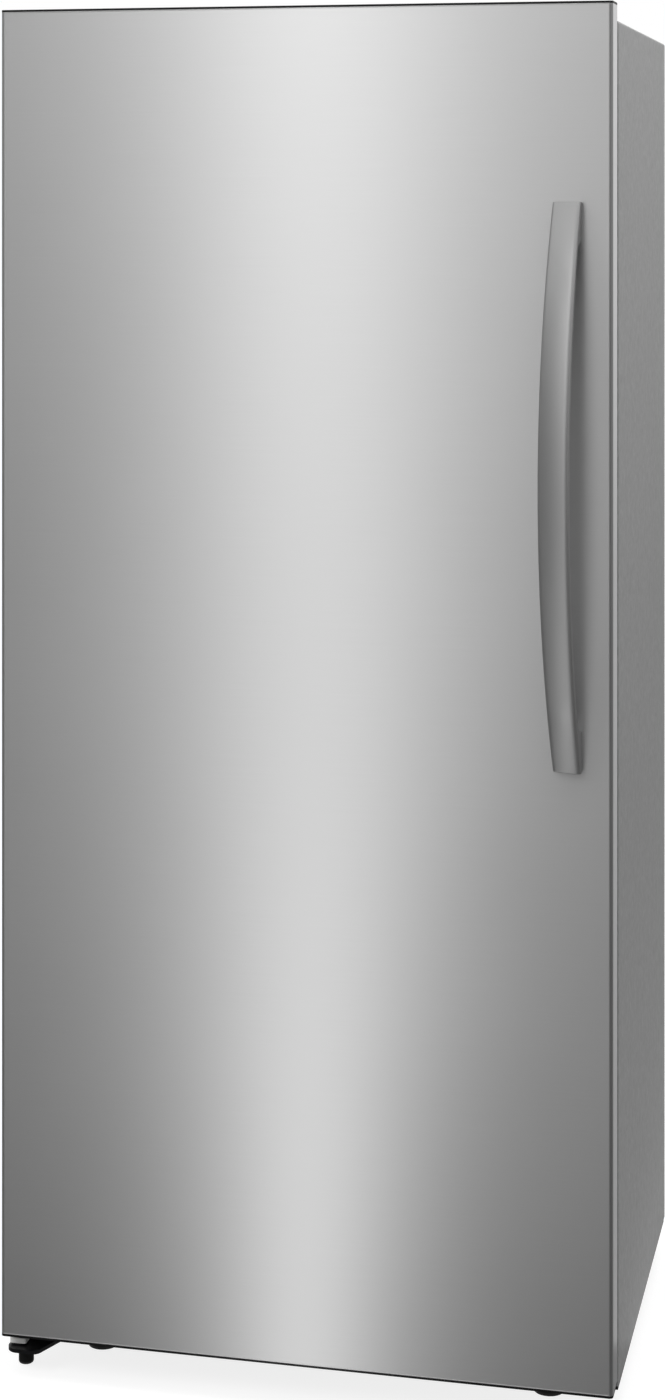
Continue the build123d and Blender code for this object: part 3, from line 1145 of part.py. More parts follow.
def evaporator_coil():
    """Finned coil: two runs of tube through a stack of plates."""
    y1 = CAV_BACK
    y0 = y1 - COIL_DEPTH
    z0 = CAB_BOTTOM + COIL_LIFT
    z1 = z0 + COIL_HEIGHT
    y, reach = (y0 + y1) / 2, COIL_WIDTH / 2 + COIL_BEND
    parts = []
    for k in range(FIN_COUNT):
        x = -COIL_WIDTH / 2 + COIL_WIDTH * k / (FIN_COUNT - 1)
        parts.append(block(x - FIN_SHEET / 2, x + FIN_SHEET / 2, y0, y1, z0, z1))
    row_pitch = COIL_HEIGHT / COIL_ROWS
    for row in range(COIL_ROWS):
        parts.append(rod_x(-reach, reach, y, z0 + row_pitch * (row + 0.5), COIL_TUBE))
    for end in (-1, 1):
        parts.append(post(end * reach, y, z0 + row_pitch / 2, z1 - row_pitch / 2, COIL_TUBE))
    return Part() + parts


def fan_motor():
    """Fan motor on a cross strap behind the cover's grille."""
    z = CAV_TOP - FAN_DROP
    y0 = CAV_BACK - MOTOR_LENGTH
    body = rod_y(0, y0, CAV_BACK, z, MOTOR_RADIUS)
    reach, strap_back = FAN_RADIUS + STRAP_REACH, CAV_BACK - STRAP_GAP
    strap = block(-reach, reach, strap_back - STRAP_SHEET, strap_back, z - STRAP_WIDTH / 2, z + STRAP_WIDTH / 2)
    return body + strap + rod_y(0, y0 - SHAFT_LENGTH, y0, z, SHAFT_RADIUS)


def fan_blade():
    """Five-bladed propeller on a hub."""
    z = CAV_TOP - FAN_DROP
    y1 = CAV_BACK - MOTOR_LENGTH - FAN_GAP
    y0 = y1 - FAN_HUB_LENGTH
    wheel = rod_y(0, y0, y1, z, FAN_HUB_RADIUS)
    root, tip = FAN_HUB_RADIUS - BLADE_ROOT, FAN_RADIUS - BLADE_TIP_GAP
    blade = Pos(0, 0, (root + tip) / 2) * Rot(0, 0, BLADE_PITCH) * Box(BLADE_WIDTH, BLADE_SHEET, tip - root)
    for k in range(FAN_BLADES):
        wheel += Pos(0, (y0 + y1) / 2, z) * Rot(0, 360.0 * k / FAN_BLADES, 0) * blade
    return wheel - rod_y(0, y0 - 1, y1 + 1, z, SHAFT_RADIUS + AXLE_CLEARANCE)


# ---------------------------------------------------------------- machine compartment
def compressor_place():
    return RIGHT - COMPRESSOR_INSET, CAB_BACK - MACHINE_DEPTH / 2


def mount_places():
    x, y = compressor_place()
    return [(x + sx * MOUNT_SIDE, y + sy * MOUNT_BACK) for sx in (-1, 1) for sy in (-1, 1)]


def compressor():
    """Hermetic compressor: two drawn shells with a welded seam on a footed plate."""
    x, y = compressor_place()
    z0 = CAB_BOTTOM + GROMMET_HEIGHT
    seam = COMPRESSOR_HEIGHT / 2
    can = post(0, 0, 0, COMPRESSOR_HEIGHT, COMPRESSOR_RADIUS)
    can = fillet(can.faces().sort_by(Axis.Z)[0].edges(), CAN_FOOT_ROUND)
    can = fillet(can.faces().sort_by(Axis.Z)[-1].edges(), CAN_TOP_ROUND)
    can += post(0, 0, seam, seam + SEAM_HEIGHT, COMPRESSOR_RADIUS + SEAM_REACH)
    half_x, half_y = MOUNT_SIDE + MOUNT_MARGIN, MOUNT_BACK + MOUNT_MARGIN
    plate = block(-half_x, half_x, -half_y, half_y, -MOUNT_PLATE, MOUNT_PLATE_SINK)
    plate = fillet(edges_along(plate, Axis.Z), MOUNT_MARGIN)
    body = Pos(x, y, z0 + MOUNT_PLATE) * (can + plate)
    for px, py in mount_places():
        body -= post(px, py, z0 - 1, z0 + MOUNT_PLATE + MOUNT_PLATE_SINK + 1, MOUNT_HOLE)
    return body


def compressor_grommets():
    """Four rubber mounts under the compressor's plate."""
    mounts = []
    for x, y in mount_places():
        mounts.append(post(x, y, CAB_BOTTOM, CAB_BOTTOM + GROMMET_HEIGHT, GROMMET_RADIUS))
    return Compound(children=mounts)


def start_relay():
    """Relay box on the compressor's terminals."""
    x, y = compressor_place()
    x0, x1 = x - COMPRESSOR_RADIUS - RELAY_REACH, x - COMPRESSOR_RADIUS + RELAY_SINK
    z0 = CAB_BOTTOM + GROMMET_HEIGHT + RELAY_LIFT
    z1 = z0 + RELAY_HEIGHT
    box = block(x0, x1, y - RELAY_WIDTH / 2, y + RELAY_WIDTH / 2, z0, z1)
    box = fillet(edges_along(box, Axis.X), RELAY_ROUND)
    return box - post(x, y, z0 - 1, z1 + 1, COMPRESSOR_RADIUS + SEAM_REACH + SLIP)


def refrigerant_lines():
    """Discharge and suction tubes that rise from the compressor to the bulkhead's roof."""
    x, y = compressor_place()
    z0 = CAB_BOTTOM + GROMMET_HEIGHT + COMPRESSOR_HEIGHT / 2 - LINE_DROP
    z1 = CAB_BOTTOM + MACHINE_HEIGHT - LINE_END_GAP
    tubes = []
    for dy, radius in ((-LINE_SPREAD, DISCHARGE_RADIUS), (LINE_SPREAD, SUCTION_RADIUS)):
        root = x + (COMPRESSOR_RADIUS ** 2 - dy ** 2) ** 0.5
        rise = root + LINE_REACH
        line = FilletPolyline((root + 1, y + dy, z0), (rise, y + dy, z0), (rise, y + dy, z1), radius=LINE_BEND)
        tube = sweep(Plane(origin=line @ 0, z_dir=line % 0) * Circle(radius), line)
        tubes.append(tube - post(x, y, z0 - LINE_BEND, z0 + LINE_BEND, COMPRESSOR_RADIUS))
    return Compound(children=tubes)


def filter_drier():
    """Copper drier, a swaged cylinder clipped upright to the bulkhead."""
    r, neck, length = DRIER_RADIUS, DRIER_NECK, DRIER_LENGTH
    low = DRIER_STUB + DRIER_CONE
    profile = Polyline((0, 0), (neck, 0), (neck, DRIER_STUB), (r, low), (r, length - low),
                       (neck, length - DRIER_STUB), (neck, length), (0, length), close=True)
    place = Pos(0, CAB_BACK - MACHINE_DEPTH + DRIER_RADIUS, CAB_BOTTOM + DRIER_LIFT)
    return place * revolve(Plane.XZ * make_face(profile), Axis.Z)


def drain_pan():
    """Black tray where defrost water evaporates."""
    x = LEFT + COMPRESSOR_INSET
    y = CAB_BACK - MACHINE_DEPTH / 2
    return tub(x - PAN_WIDTH / 2, x + PAN_WIDTH / 2, y - PAN_DEPTH / 2, y + PAN_DEPTH / 2,
               CAB_BOTTOM, CAB_BOTTOM + PAN_HEIGHT, PAN_DRAFT, PAN_WALL, PAN_CORNER)


def louvre_places():
    """Middle of each louvre on the machine cover: x, z."""
    z_mid = CAB_BOTTOM + MACHINE_HEIGHT / 2
    pitch = (CABINET_WIDTH - 2 * LOUVRE_MARGIN) / LOUVRE_COLUMNS
    return [((c - (LOUVRE_COLUMNS - 1) / 2) * pitch, z_mid + (r - (LOUVRE_ROWS - 1) / 2) * LOUVRE_PITCH)
            for c in range(LOUVRE_COLUMNS) for r in range(LOUVRE_ROWS)]


def cover_screw_places():
    x = RIGHT - COVER_EDGE - COVER_SCREW_SIDE
    low, high = CAB_BOTTOM + COVER_EDGE + COVER_SCREW_RISE, CAB_BOTTOM + MACHINE_HEIGHT + COVER_LAP / 2
    return [(sx * x, low) for sx in (-1, 1)] + [(sx * reach, high) for sx in (-1, 1) for reach in (x, x / 3)]


def machine_cover():
    """Pressed steel cover with rows of hooded louvres."""
    half = RIGHT - COVER_EDGE
    y0 = PANEL_BACK
    z0, z1 = CAB_BOTTOM + COVER_EDGE, CAB_BOTTOM + MACHINE_HEIGHT + COVER_LAP
    sheet = block(-half, half, y0, y0 + SHEET, z0, z1)
    lip = CAB_BACK - LOUVRE_SETBACK
    inner_lip = lip - LOUVRE_SHEET
    top = LOUVRE_HEIGHT + LOUVRE_SLOPE
    wedge = Polyline((y0 + SHEET / 2, 0), (lip, 0), (y0 + SHEET, top), (y0 + SHEET / 2, top), close=True)
    hollow = Polyline((y0 - 1, -1), (inner_lip, -1), (inner_lip, LOUVRE_MOUTH),
                      (y0 + SHEET - LOUVRE_SHEET / 2, LOUVRE_HEIGHT + LOUVRE_SLOPE / 2),
                      (y0 - 1, LOUVRE_HEIGHT), close=True)
    hoods, slots = [], []
    for x, z in louvre_places():
        x0 = x - LOUVRE_LENGTH / 2
        side = Plane(origin=(x0, 0, z), x_dir=(0, 1, 0), z_dir=(1, 0, 0))
        inner = Plane(origin=(x0 + LOUVRE_SHEET, 0, z), x_dir=(0, 1, 0), z_dir=(1, 0, 0))
        hoods.append(extrude(side * make_face(wedge), LOUVRE_LENGTH))
        slots.append(extrude(inner * make_face(hollow), LOUVRE_LENGTH - 2 * LOUVRE_SHEET))
    sheet = sheet + hoods - slots
    hole = COVER_SCREW_RADIUS + SCREW_CLEARANCE
    return sheet - [rod_y(x, y0 - 1, y0 + SHEET + 1, z, hole) for x, z in cover_screw_places()]


def cover_screws():
    screws = []
    for x, z in cover_screw_places():
        head = rod_y(x, PANEL_BACK + SHEET, PANEL_BACK + SHEET + COVER_HEAD_HEIGHT, z, COVER_HEAD_RADIUS)
        head = fillet(head.faces().sort_by(Axis.Y)[-1].edges(), COVER_HEAD_ROUND)
        screws.append(head + rod_y(x, PANEL_BACK, PANEL_BACK + SHEET + 1, z, COVER_SCREW_RADIUS))
    return Compound(children=screws)


# ---------------------------------------------------------------- every node and its maker
def nodes():
    made = {
        "inner_liner": inner_liner,
        "side_panel_left": lambda: side_panel(-1),
        "side_panel_right": lambda: side_panel(1),
        "roof_panel": roof_panel,
        "front_sill": front_sill,
        "back_panel": back_panel,
        "cabinet_foam": cabinet_foam,
        "machine_bulkhead": machine_bulkhead,
        "base_pan": base_pan,
        "foot_left": lambda: levelling_foot(*foot_places()[0]),
        "foot_right": lambda: levelling_foot(*foot_places()[1]),
        "hinge_leg": hinge_leg,
        "rear_wheel_left": lambda: rear_wheel(*wheel_places()[0]),
        "rear_wheel_right": lambda: rear_wheel(*wheel_places()[1]),
        "wheel_brackets": wheel_brackets,
        "wheel_axles": wheel_axles,
        "bottom_hinge_plate": bottom_hinge_plate,
        "bottom_hinge_pin": bottom_hinge_pin,
        "bottom_hinge_screws": bottom_hinge_screws,
        "hinge_cam_lower": hinge_cam_lower,
        "hinge_cam_upper": hinge_cam_upper,
        "top_hinge_plate": top_hinge_plate,
        "top_hinge_pin": top_hinge_pin,
        "top_hinge_screws": top_hinge_screws,
        "top_hinge_cover": top_hinge_cover,
        "hinge_bush_top": hinge_bush_top,
        "door_skin": door_skin,
        "door_top_cap": door_top_cap,
        "door_bottom_cap": door_bottom_cap,
        "door_foam": door_foam,
        "door_liner": door_liner,
        "door_gasket": door_gasket,
        "handle_bar": handle_bar,
        "handle_studs": handle_studs,
        "basket_upper": basket_upper,
        "basket_lower": basket_lower,
        "control_housing": control_housing,
        "control_dial": control_dial,
        "light_lens": light_lens,
        "evaporator_cover": evaporator_cover,
        "evaporator_coil": evaporator_coil,
        "fan_motor": fan_motor,
        "fan_blade": fan_blade,
        "compressor": compressor,
        "compressor_grommets": compressor_grommets,
        "start_relay": start_relay,
        "refrigerant_lines": refrigerant_lines,
        "filter_drier": filter_drier,
        "drain_pan": drain_pan,
        "machine_cover": machine_cover,
        "machine_cover_screws": cover_screws,
    }
    for index in range(SHELF_COUNT):
        made[f"shelf_{index + 1}"] = lambda index=index: wire_shelf(index)
    for index in range(BIN_COUNT):
        made[f"door_bin_{index + 1}"] = lambda index=index: door_bin(index)
    return made


os.makedirs("parts", exist_ok=True)
for name, make in nodes().items():
    export_step(make(), f"parts/{name}.step")
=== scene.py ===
"""Upright freezer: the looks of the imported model, in the order in which the freezer is put together."""
import math

import bmesh
import bpy
from mathutils import Matrix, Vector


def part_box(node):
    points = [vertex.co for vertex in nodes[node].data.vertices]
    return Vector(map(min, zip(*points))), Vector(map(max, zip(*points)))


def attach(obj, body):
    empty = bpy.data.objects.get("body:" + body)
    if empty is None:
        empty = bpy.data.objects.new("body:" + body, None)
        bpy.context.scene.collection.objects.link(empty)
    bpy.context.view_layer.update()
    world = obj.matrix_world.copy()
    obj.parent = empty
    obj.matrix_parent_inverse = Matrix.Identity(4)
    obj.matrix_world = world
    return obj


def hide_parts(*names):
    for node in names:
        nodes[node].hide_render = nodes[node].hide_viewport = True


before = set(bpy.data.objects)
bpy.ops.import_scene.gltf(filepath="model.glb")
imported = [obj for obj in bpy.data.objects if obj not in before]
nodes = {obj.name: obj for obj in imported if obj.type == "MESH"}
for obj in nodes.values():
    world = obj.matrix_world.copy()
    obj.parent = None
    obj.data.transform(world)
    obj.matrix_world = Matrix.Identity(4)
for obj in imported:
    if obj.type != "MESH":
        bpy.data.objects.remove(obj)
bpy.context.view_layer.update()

# ------------------------------------------------------------ cabinet shell
# The side panels, roof and sill are steel sheet, rolled with a fine leather emboss and painted in a plain mid
# grey. The paint is satin: it thins a little on the crests of the emboss, and large areas vary faintly.
VECTOR, FLOAT, COLOUR = "NodeSocketVector", "NodeSocketFloat", "NodeSocketColor"


def effect(name, inputs, outputs):
    """A shader node group that takes coordinates and named inputs: the tree, and its sockets as seen from inside."""
    tree = bpy.data.node_groups.new(name, "ShaderNodeTree")
    for label, kind, value in [("Vector", VECTOR, (0, 0, 0)), *inputs]:
        tree.interface.new_socket(label, in_out="INPUT", socket_type=kind).default_value = value
    for label, kind in outputs:
        tree.interface.new_socket(label, in_out="OUTPUT", socket_type=kind)
    return tree, tree.nodes.new("NodeGroupInput").outputs, tree.nodes.new("NodeGroupOutput").inputs


def add(tree, kind, links=(), **values):
    """A node with its values set and its inputs linked: links hold (input, output socket)."""
    node = tree.nodes.new(kind)
    for label, value in values.items():
        if label in node.bl_rna.properties:
            setattr(node, label, value)
        else:
            node.inputs[label.replace("_", " ")].default_value = value
    for label, source in links:
        tree.links.new(source, node.inputs[label])
    return node


def feed(tree, socket, value):
    """Links an input to another socket, or sets it to a plain value."""
    if hasattr(value, "links"):
        tree.links.new(value, socket)
    else:
        socket.default_value = value


def calculate(tree, operation, *values):
    """One step of arithmetic on sockets and plain numbers."""
    node = add(tree, "ShaderNodeMath", operation=operation)
    for index, value in enumerate(values):
        feed(tree, node.inputs[index], value)
    return node.outputs[0]


def swing(tree, noise):
    """A noise, which stays near 0.5, turned into a swing between about -1 and 1."""
    return calculate(tree, "MULTIPLY", calculate(tree, "SUBTRACT", noise, 0.5), 4.0)


def per_metre(tree, size):
    """How many features of one size fit in a metre: the scale that their texture needs."""
    return calculate(tree, "DIVIDE", 1.0, size)


def scaled(tree, colour, factor):
    """A colour made lighter or darker."""
    return add(tree, "ShaderNodeVectorMath", [(0, colour), ("Scale", factor)], operation="SCALE").outputs[0]


def spread(tree, source, low, high, new_low, new_high):
    """A value of one range carried over to another, clamped."""
    node = add(tree, "ShaderNodeMapRange", [(0, source)])
    for index, value in enumerate((low, high, new_low, new_high), 1):
        node.inputs[index].default_value = value
    return node.outputs[0]


def tint(tree, factor, first, second):
    """Two colours mixed by a factor."""
    node = add(tree, "ShaderNodeMix", data_type="RGBA")
    tree.links.new(factor, node.inputs["Factor"])
    for label, colour in (("A", first), ("B", second)):
        feed(tree, [s for s in node.inputs if s.name == label and s.type == "RGBA"][0], colour)
    return [s for s in node.outputs if s.type == "RGBA"][0]


def grey(value):
    """A neutral colour."""
    return (value, value, value, 1.0)


# Handling haze: cloudy patches that shift colour and gloss a little, on every material of the freezer.
haze, haze_in, haze_out = effect(
    "handling_haze",
    [("Patch Scale", FLOAT, 4.0), ("Colour", COLOUR, grey(0.5)), ("Colour Shift", FLOAT, 0.04),
     ("Roughness", FLOAT, 0.4), ("Roughness Shift", FLOAT, 0.05)],
    [("Colour", COLOUR), ("Roughness", FLOAT)])
cloud = add(haze, "ShaderNodeTexNoise", [("Vector", haze_in["Vector"]), ("Scale", haze_in["Patch Scale"])],
            Detail=4.0, Roughness=0.55)
sway = swing(haze, cloud.outputs["Fac"])
gain = calculate(haze, "MULTIPLY_ADD", sway, haze_in["Colour Shift"], 1.0)
gloss = calculate(haze, "MULTIPLY_ADD", sway, haze_in["Roughness Shift"], haze_in["Roughness"])
haze.links.new(scaled(haze, haze_in["Colour"], gain), haze_out["Colour"])
haze.links.new(gloss, haze_out["Roughness"])

# Leather emboss: flat-topped pebbles of a few millimetres, drawn out a little along the coil.
emboss, emboss_in, emboss_out = effect(
    "leather_emboss", [("Pebble", FLOAT, 0.003)], [("Height", FLOAT), ("Crest", FLOAT)])
density = per_metre(emboss, emboss_in["Pebble"])
drawn = add(emboss, "ShaderNodeVectorMath", [(0, emboss_in["Vector"])], operation="MULTIPLY")
drawn.inputs[1].default_value = (1.0, 1.0, 0.45)
pebbles = add(emboss, "ShaderNodeTexVoronoi", [("Vector", drawn.outputs[0]), ("Scale", density)],
              feature="SMOOTH_F1", Smoothness=0.6)
worms = add(emboss, "ShaderNodeTexNoise", [("Vector", drawn.outputs[0]), ("Scale", density)], Detail=3.0, Roughness=0.6)
crest = calculate(emboss, "MULTIPLY", pebbles.outputs["Distance"], worms.outputs["Fac"])
emboss.links.new(spread(emboss, crest, 0.08, 0.42, 1.0, 0.0), emboss_out["Height"])
emboss.links.new(spread(emboss, crest, 0.10, 0.30, 1.0, 0.0), emboss_out["Crest"])


def use(tree, group, place, **values):
    """An effect placed in a material at some coordinates, with its other inputs set or linked."""
    node = add(tree, "ShaderNodeGroup", node_tree=group)
    tree.links.new(place, node.inputs["Vector"])
    for label, value in values.items():
        feed(tree, node.inputs[label.replace("_", " ")], value)
    return node.outputs


def surface(name, **values):
    """A material with its Principled shader set: the tree, the shader and the object's coordinates."""
    material = bpy.data.materials.new(name)
    material.use_nodes = True
    tree = material.node_tree
    shader = tree.nodes["Principled BSDF"]
    for label, value in values.items():
        shader.inputs[label.replace("_", " ")].default_value = value
    return material, tree, shader, tree.nodes.new("ShaderNodeTexCoord").outputs["Object"]


def colour_with(tree, shader, place, colour, patch, colour_shift, roughness, roughness_shift):
    """Lays handling haze over a colour and gives the shader the colour and roughness that come of it."""
    veil = use(tree, haze, place, Patch_Scale=patch, Colour=colour, Colour_Shift=colour_shift, Roughness=roughness,
               Roughness_Shift=roughness_shift)
    tree.links.new(veil["Colour"], shader.inputs["Base Color"])
    tree.links.new(veil["Roughness"], shader.inputs["Roughness"])


def raise_bump(tree, shader, height, distance):
    """Relief of a height map, as deep as a distance in metres."""
    bump = add(tree, "ShaderNodeBump", [("Height", height)], Distance=distance, Strength=1.0)
    tree.links.new(bump.outputs["Normal"], shader.inputs["Normal"])


def dress(material, *names):
    """Gives CAD nodes their finish."""
    for name in names:
        if not nodes[name].material_slots:
            nodes[name].data.materials.append(material)
        for slot in nodes[name].material_slots:
            slot.material = material


paint, tree, shader, place = surface("embossed_grey_paint")
grain = use(tree, emboss, place, Pebble=0.0034)
pigment = tint(tree, grain["Crest"], grey(0.335), grey(0.395))
mottle = use(tree, haze, place, Colour=pigment, Patch_Scale=55.0, Colour_Shift=0.11)
colour_with(tree, shader, place, mottle["Colour"], 2.2, 0.05, 0.46, 0.03)
raise_bump(tree, shader, grain["Height"], 0.00012)
dress(paint, "side_panel_left", "side_panel_right", "roof_panel", "front_sill")

# ------------------------------------------------------------ back of the cabinet
# The back panel, the machine compartment's bulkhead and its louvred cover are hot-dip galvanised sheet: a dull zinc
# skin with the flat, leaf-like spangle of the crystals, whose edges waver a little.
WAVER = 0.004
spangle, spangle_in, spangle_out = effect(
    "zinc_spangle", [("Crystal", FLOAT, 0.012)], [("Facet", FLOAT), ("Height", FLOAT)])
density = per_metre(spangle, spangle_in["Crystal"])
wobble = add(spangle, "ShaderNodeTexNoise", [("Vector", spangle_in["Vector"]), ("Scale", density)], Detail=2.0)
bent = add(spangle, "ShaderNodeVectorMath", [(0, wobble.outputs["Color"]), (2, spangle_in["Vector"])],
           operation="MULTIPLY_ADD")
bent.inputs[1].default_value = (WAVER, WAVER, WAVER)
leaf = add(spangle, "ShaderNodeTexVoronoi", [("Vector", bent.outputs[0]), ("Scale", density)])
tone = add(spangle, "ShaderNodeSeparateColor", [("Color", leaf.outputs["Color"])])
spangle.links.new(tone.outputs["Red"], spangle_out["Facet"])
spangle.links.new(tone.outputs["Green"], spangle_out["Height"])

zinc, tree, shader, place = surface("galvanised_sheet", Metallic=0.85)
crystals = use(tree, spangle, place, Crystal=0.009)
facets = tint(tree, crystals["Facet"], (0.42, 0.43, 0.44, 1), (0.54, 0.55, 0.56, 1))
colour_with(tree, shader, place, facets, 3.0, 0.05, 0.42, 0.06)
raise_bump(tree, shader, crystals["Height"], 0.00002)
dress(zinc, "back_panel", "machine_bulkhead", "machine_cover")

# ------------------------------------------------------------ base pan, hinge plate and compressor
# Deep-drawn steel parts dipped in black enamel: the tray under the cabinet, the plate that carries the door, and the
# compressor's shell. The enamel gathers in low spots and is a little orange-peeled.
peel, peel_in, peel_out = effect("orange_peel", [("Dimple", FLOAT, 0.002)], [("Height", FLOAT)])
dimples = add(peel, "ShaderNodeTexNoise",
              [("Vector", peel_in["Vector"]), ("Scale", per_metre(peel, peel_in["Dimple"]))], Detail=1.5, Roughness=0.4)
peel.links.new(dimples.outputs["Fac"], peel_out["Height"])

enamel, tree, shader, place = surface("black_enamel", Specular_IOR_Level=0.3)
colour_with(tree, shader, place, (0.008, 0.008, 0.009, 1), 14.0, 0.12, 0.38, 0.08)
raise_bump(tree, shader, use(tree, peel, place, Dimple=0.0018)["Height"], 0.00006)
dress(enamel, "base_pan", "bottom_hinge_plate", "compressor")

# ------------------------------------------------------------ feet, rollers and small black mouldings
# Hard black polymer: the round feet, the leg under the hinge, the rear rollers, the end caps of the door, the cap over
# the upper hinge, the fan and its motor, the start relay and the drain pan. Their spark-eroded moulds leave a fine matt
# grain.
pits, pits_in, pits_out = effect("mould_grain", [("Pit", FLOAT, 0.0006)], [("Height", FLOAT), ("Shade", FLOAT)])
speck = add(pits, "ShaderNodeTexNoise",
            [("Vector", pits_in["Vector"]), ("Scale", per_metre(pits, pits_in["Pit"]))], Detail=2.0, Roughness=0.7)
pits.links.new(speck.outputs["Fac"], pits_out["Height"])
pits.links.new(spread(pits, speck.outputs["Fac"], 0.3, 0.7, 0.0, 1.0), pits_out["Shade"])


def moulding(name, dark, light, roughness, pit=0.0006, depth=0.00003, patch=12.0, **values):
    """A moulded plastic: two shades of one colour in the grain, and a faint haze over it."""
    material, tree, shader, place = surface(name, **values)
    texture = use(tree, pits, place, Pit=pit)
    colour_with(tree, shader, place, tint(tree, texture["Shade"], dark, light), patch, 0.03, roughness, 0.05)
    raise_bump(tree, shader, texture["Height"], depth)
    return material


black = moulding("black_moulding", grey(0.006), grey(0.009), 0.5, Specular_IOR_Level=0.2)
dress(black, "foot_left", "foot_right", "hinge_leg", "rear_wheel_left", "rear_wheel_right", "door_top_cap",
      "door_bottom_cap", "top_hinge_cover", "hinge_cam_upper", "fan_motor", "fan_blade", "start_relay", "drain_pan")

# ------------------------------------------------------------ hinges, screws, axles and studs
# Bright zinc plate on cold-drawn steel: a pale, faintly blue metal, clouded in small patches. The heads of the screws
# are pan heads with a cross recess, each turned as the driver left it.


def bare_metal(name, colour, patch, colour_shift, roughness, roughness_shift):
    """A metal without paint, clouded by oxide and handling."""
    material, tree, shader, place = surface(name, Metallic=1.0)
    colour_with(tree, shader, place, (*colour, 1), patch, colour_shift, roughness, roughness_shift)
    return material


plate = bare_metal("bright_zinc_plate", (0.62, 0.63, 0.65), 60.0, 0.08, 0.3, 0.06)
dress(plate, "bottom_hinge_pin", "bottom_hinge_screws", "top_hinge_plate", "top_hinge_pin", "top_hinge_screws",
      "wheel_brackets", "wheel_axles", "handle_studs", "machine_cover_screws")


def select_only(obj):
    """Makes one object the only selected and the active one."""
    bpy.ops.object.select_all(action="DESELECT")
    obj.select_set(True)
    bpy.context.view_layer.objects.active = obj


def edit_where(obj, test, mode="VERT"):
    """Opens a mesh in edit mode with the vertices or edges selected that pass a test."""
    select_only(obj)
    bpy.ops.object.mode_set(mode="EDIT")
    bpy.ops.mesh.select_mode(type=mode)
    mesh = bmesh.from_edit_mesh(obj.data)
    for part in {"VERT": mesh.verts, "EDGE": mesh.edges}[mode]:
        part.select = test(part)
    mesh.select_flush_mode()
    bmesh.update_edit_mesh(obj.data)


def cut_away(obj, cutter):
    """Takes one solid out of another and deletes it."""
    cut = obj.modifiers.new("cut", "BOOLEAN")
    cut.operation, cut.solver, cut.object = "DIFFERENCE", "EXACT", cutter
    select_only(obj)
    bpy.ops.object.modifier_apply(modifier=cut.name)
    bpy.data.objects.remove(cutter)


CROSS_LENGTH, CROSS_WIDTH, CROSS_DEPTH = 1.15, 0.26, 1.1     # in radii, radii and heights of the head
CROSS_TAPER = 0.55
FIRST_TURN, NEXT_TURN = 0.7, 1.9


def cross_head(radius, height, rounding):
    """A pan head about the origin, bearing at z = 0, with a tapered cross cut into its crown."""
    bpy.ops.mesh.primitive_cylinder_add(vertices=40, radius=radius, depth=height, location=(0, 0, height / 2))
    head = bpy.context.object
    bpy.ops.object.transform_apply()
    edit_where(head, lambda e: all(v.co.z > height - 1e-6 for v in e.verts), "EDGE")
    bpy.ops.mesh.bevel(offset=rounding, segments=5, affect="EDGES")
    bpy.ops.object.mode_set(mode="OBJECT")
    for turn in (0, 90):
        bpy.ops.mesh.primitive_cube_add(size=1, location=(0, 0, height))
        blade = bpy.context.object
        blade.scale = (radius * CROSS_LENGTH, radius * CROSS_WIDTH, height * CROSS_DEPTH)
        blade.rotation_euler = (0, 0, math.radians(turn))
        bpy.ops.object.transform_apply()
        edit_where(blade, lambda v: v.co.z < height)
        bpy.ops.transform.resize(value=(CROSS_TAPER, CROSS_TAPER, 1), center_override=(0, 0, height))
        bpy.ops.object.mode_set(mode="OBJECT")
        cut_away(head, blade)
    bpy.ops.object.shade_smooth_by_angle(angle=math.radians(35))
    return head


def set_heads(node, pattern, places, tip):
    """Copies of a head in place of a node of plain ones, joined. tip turns them about X, from facing up."""
    heads = []
    for index, place in enumerate(places):
        head = pattern.copy()
        head.data = pattern.data.copy()
        bpy.context.scene.collection.objects.link(head)
        head.rotation_euler = (tip, 0, 0)
        head.data.transform(Matrix.Rotation(FIRST_TURN + NEXT_TURN * index, 4, "Z"))
        head.location = place
        heads.append(head)
    bpy.ops.object.select_all(action="DESELECT")
    for head in heads:
        head.select_set(True)
    bpy.context.view_layer.objects.active = heads[0]
    bpy.ops.object.transform_apply()
    bpy.ops.object.join()
    joined = bpy.context.object
    joined.name = node.removesuffix("s") + "_heads"
    joined.data.materials.append(plate)
    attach(joined, "cabinet")
    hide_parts(node)


UPPER_PLATE_TOP, LOWER_TAB_UNDERSIDE = 1.852, 0.037
COVER_HEAD = 0.0024
pan = cross_head(0.006, 0.0032, 0.0016)
set_heads("top_hinge_screws", pan,
          [(x, y, UPPER_PLATE_TOP) for x, y in ((-0.404, -0.1985), (-0.372, -0.1925), (-0.392, -0.1545))], 0)
set_heads("bottom_hinge_screws", pan,
          [(x, y, LOWER_TAB_UNDERSIDE) for y in (-0.1985, -0.1725) for x in (-0.397, -0.341)], math.pi)
bpy.data.objects.remove(pan)
small_pan = cross_head(0.004, COVER_HEAD, 0.001)
cover_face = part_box("machine_cover_screws")[1][1] - COVER_HEAD
set_heads("machine_cover_screws", small_pan,
          [(x, cover_face, z) for x, z in ((-0.393, 0.072), (0.393, 0.072), (-0.393, 0.305), (0.393, 0.305),
                                           (-0.131, 0.305), (0.131, 0.305))], -math.pi / 2)
bpy.data.objects.remove(small_pan)

# The ramp block that the door rides on, and the upper bush, are natural nylon: a milky grey-white.
nylon = moulding("natural_nylon", (0.82, 0.82, 0.80, 1), (0.88, 0.88, 0.86, 1), 0.42, pit=0.001)
dress(nylon, "hinge_cam_lower", "hinge_bush_top")

# ------------------------------------------------------------ cold compartment
# The inner liner, the evaporator's cover and the control housing are white polystyrene sheet and mouldings, semi gloss.
# The dial's numbers and the pointer line on its grip are pad-printed in grey, and a wedge above it marks the setting.
white = moulding("white_liner", (0.80, 0.81, 0.81, 1), (0.84, 0.85, 0.85, 1), 0.3, pit=0.0012, depth=0.000015,
                 patch=3.0)
dress(white, "inner_liner", "door_liner", "evaporator_cover", "control_housing", "control_dial")

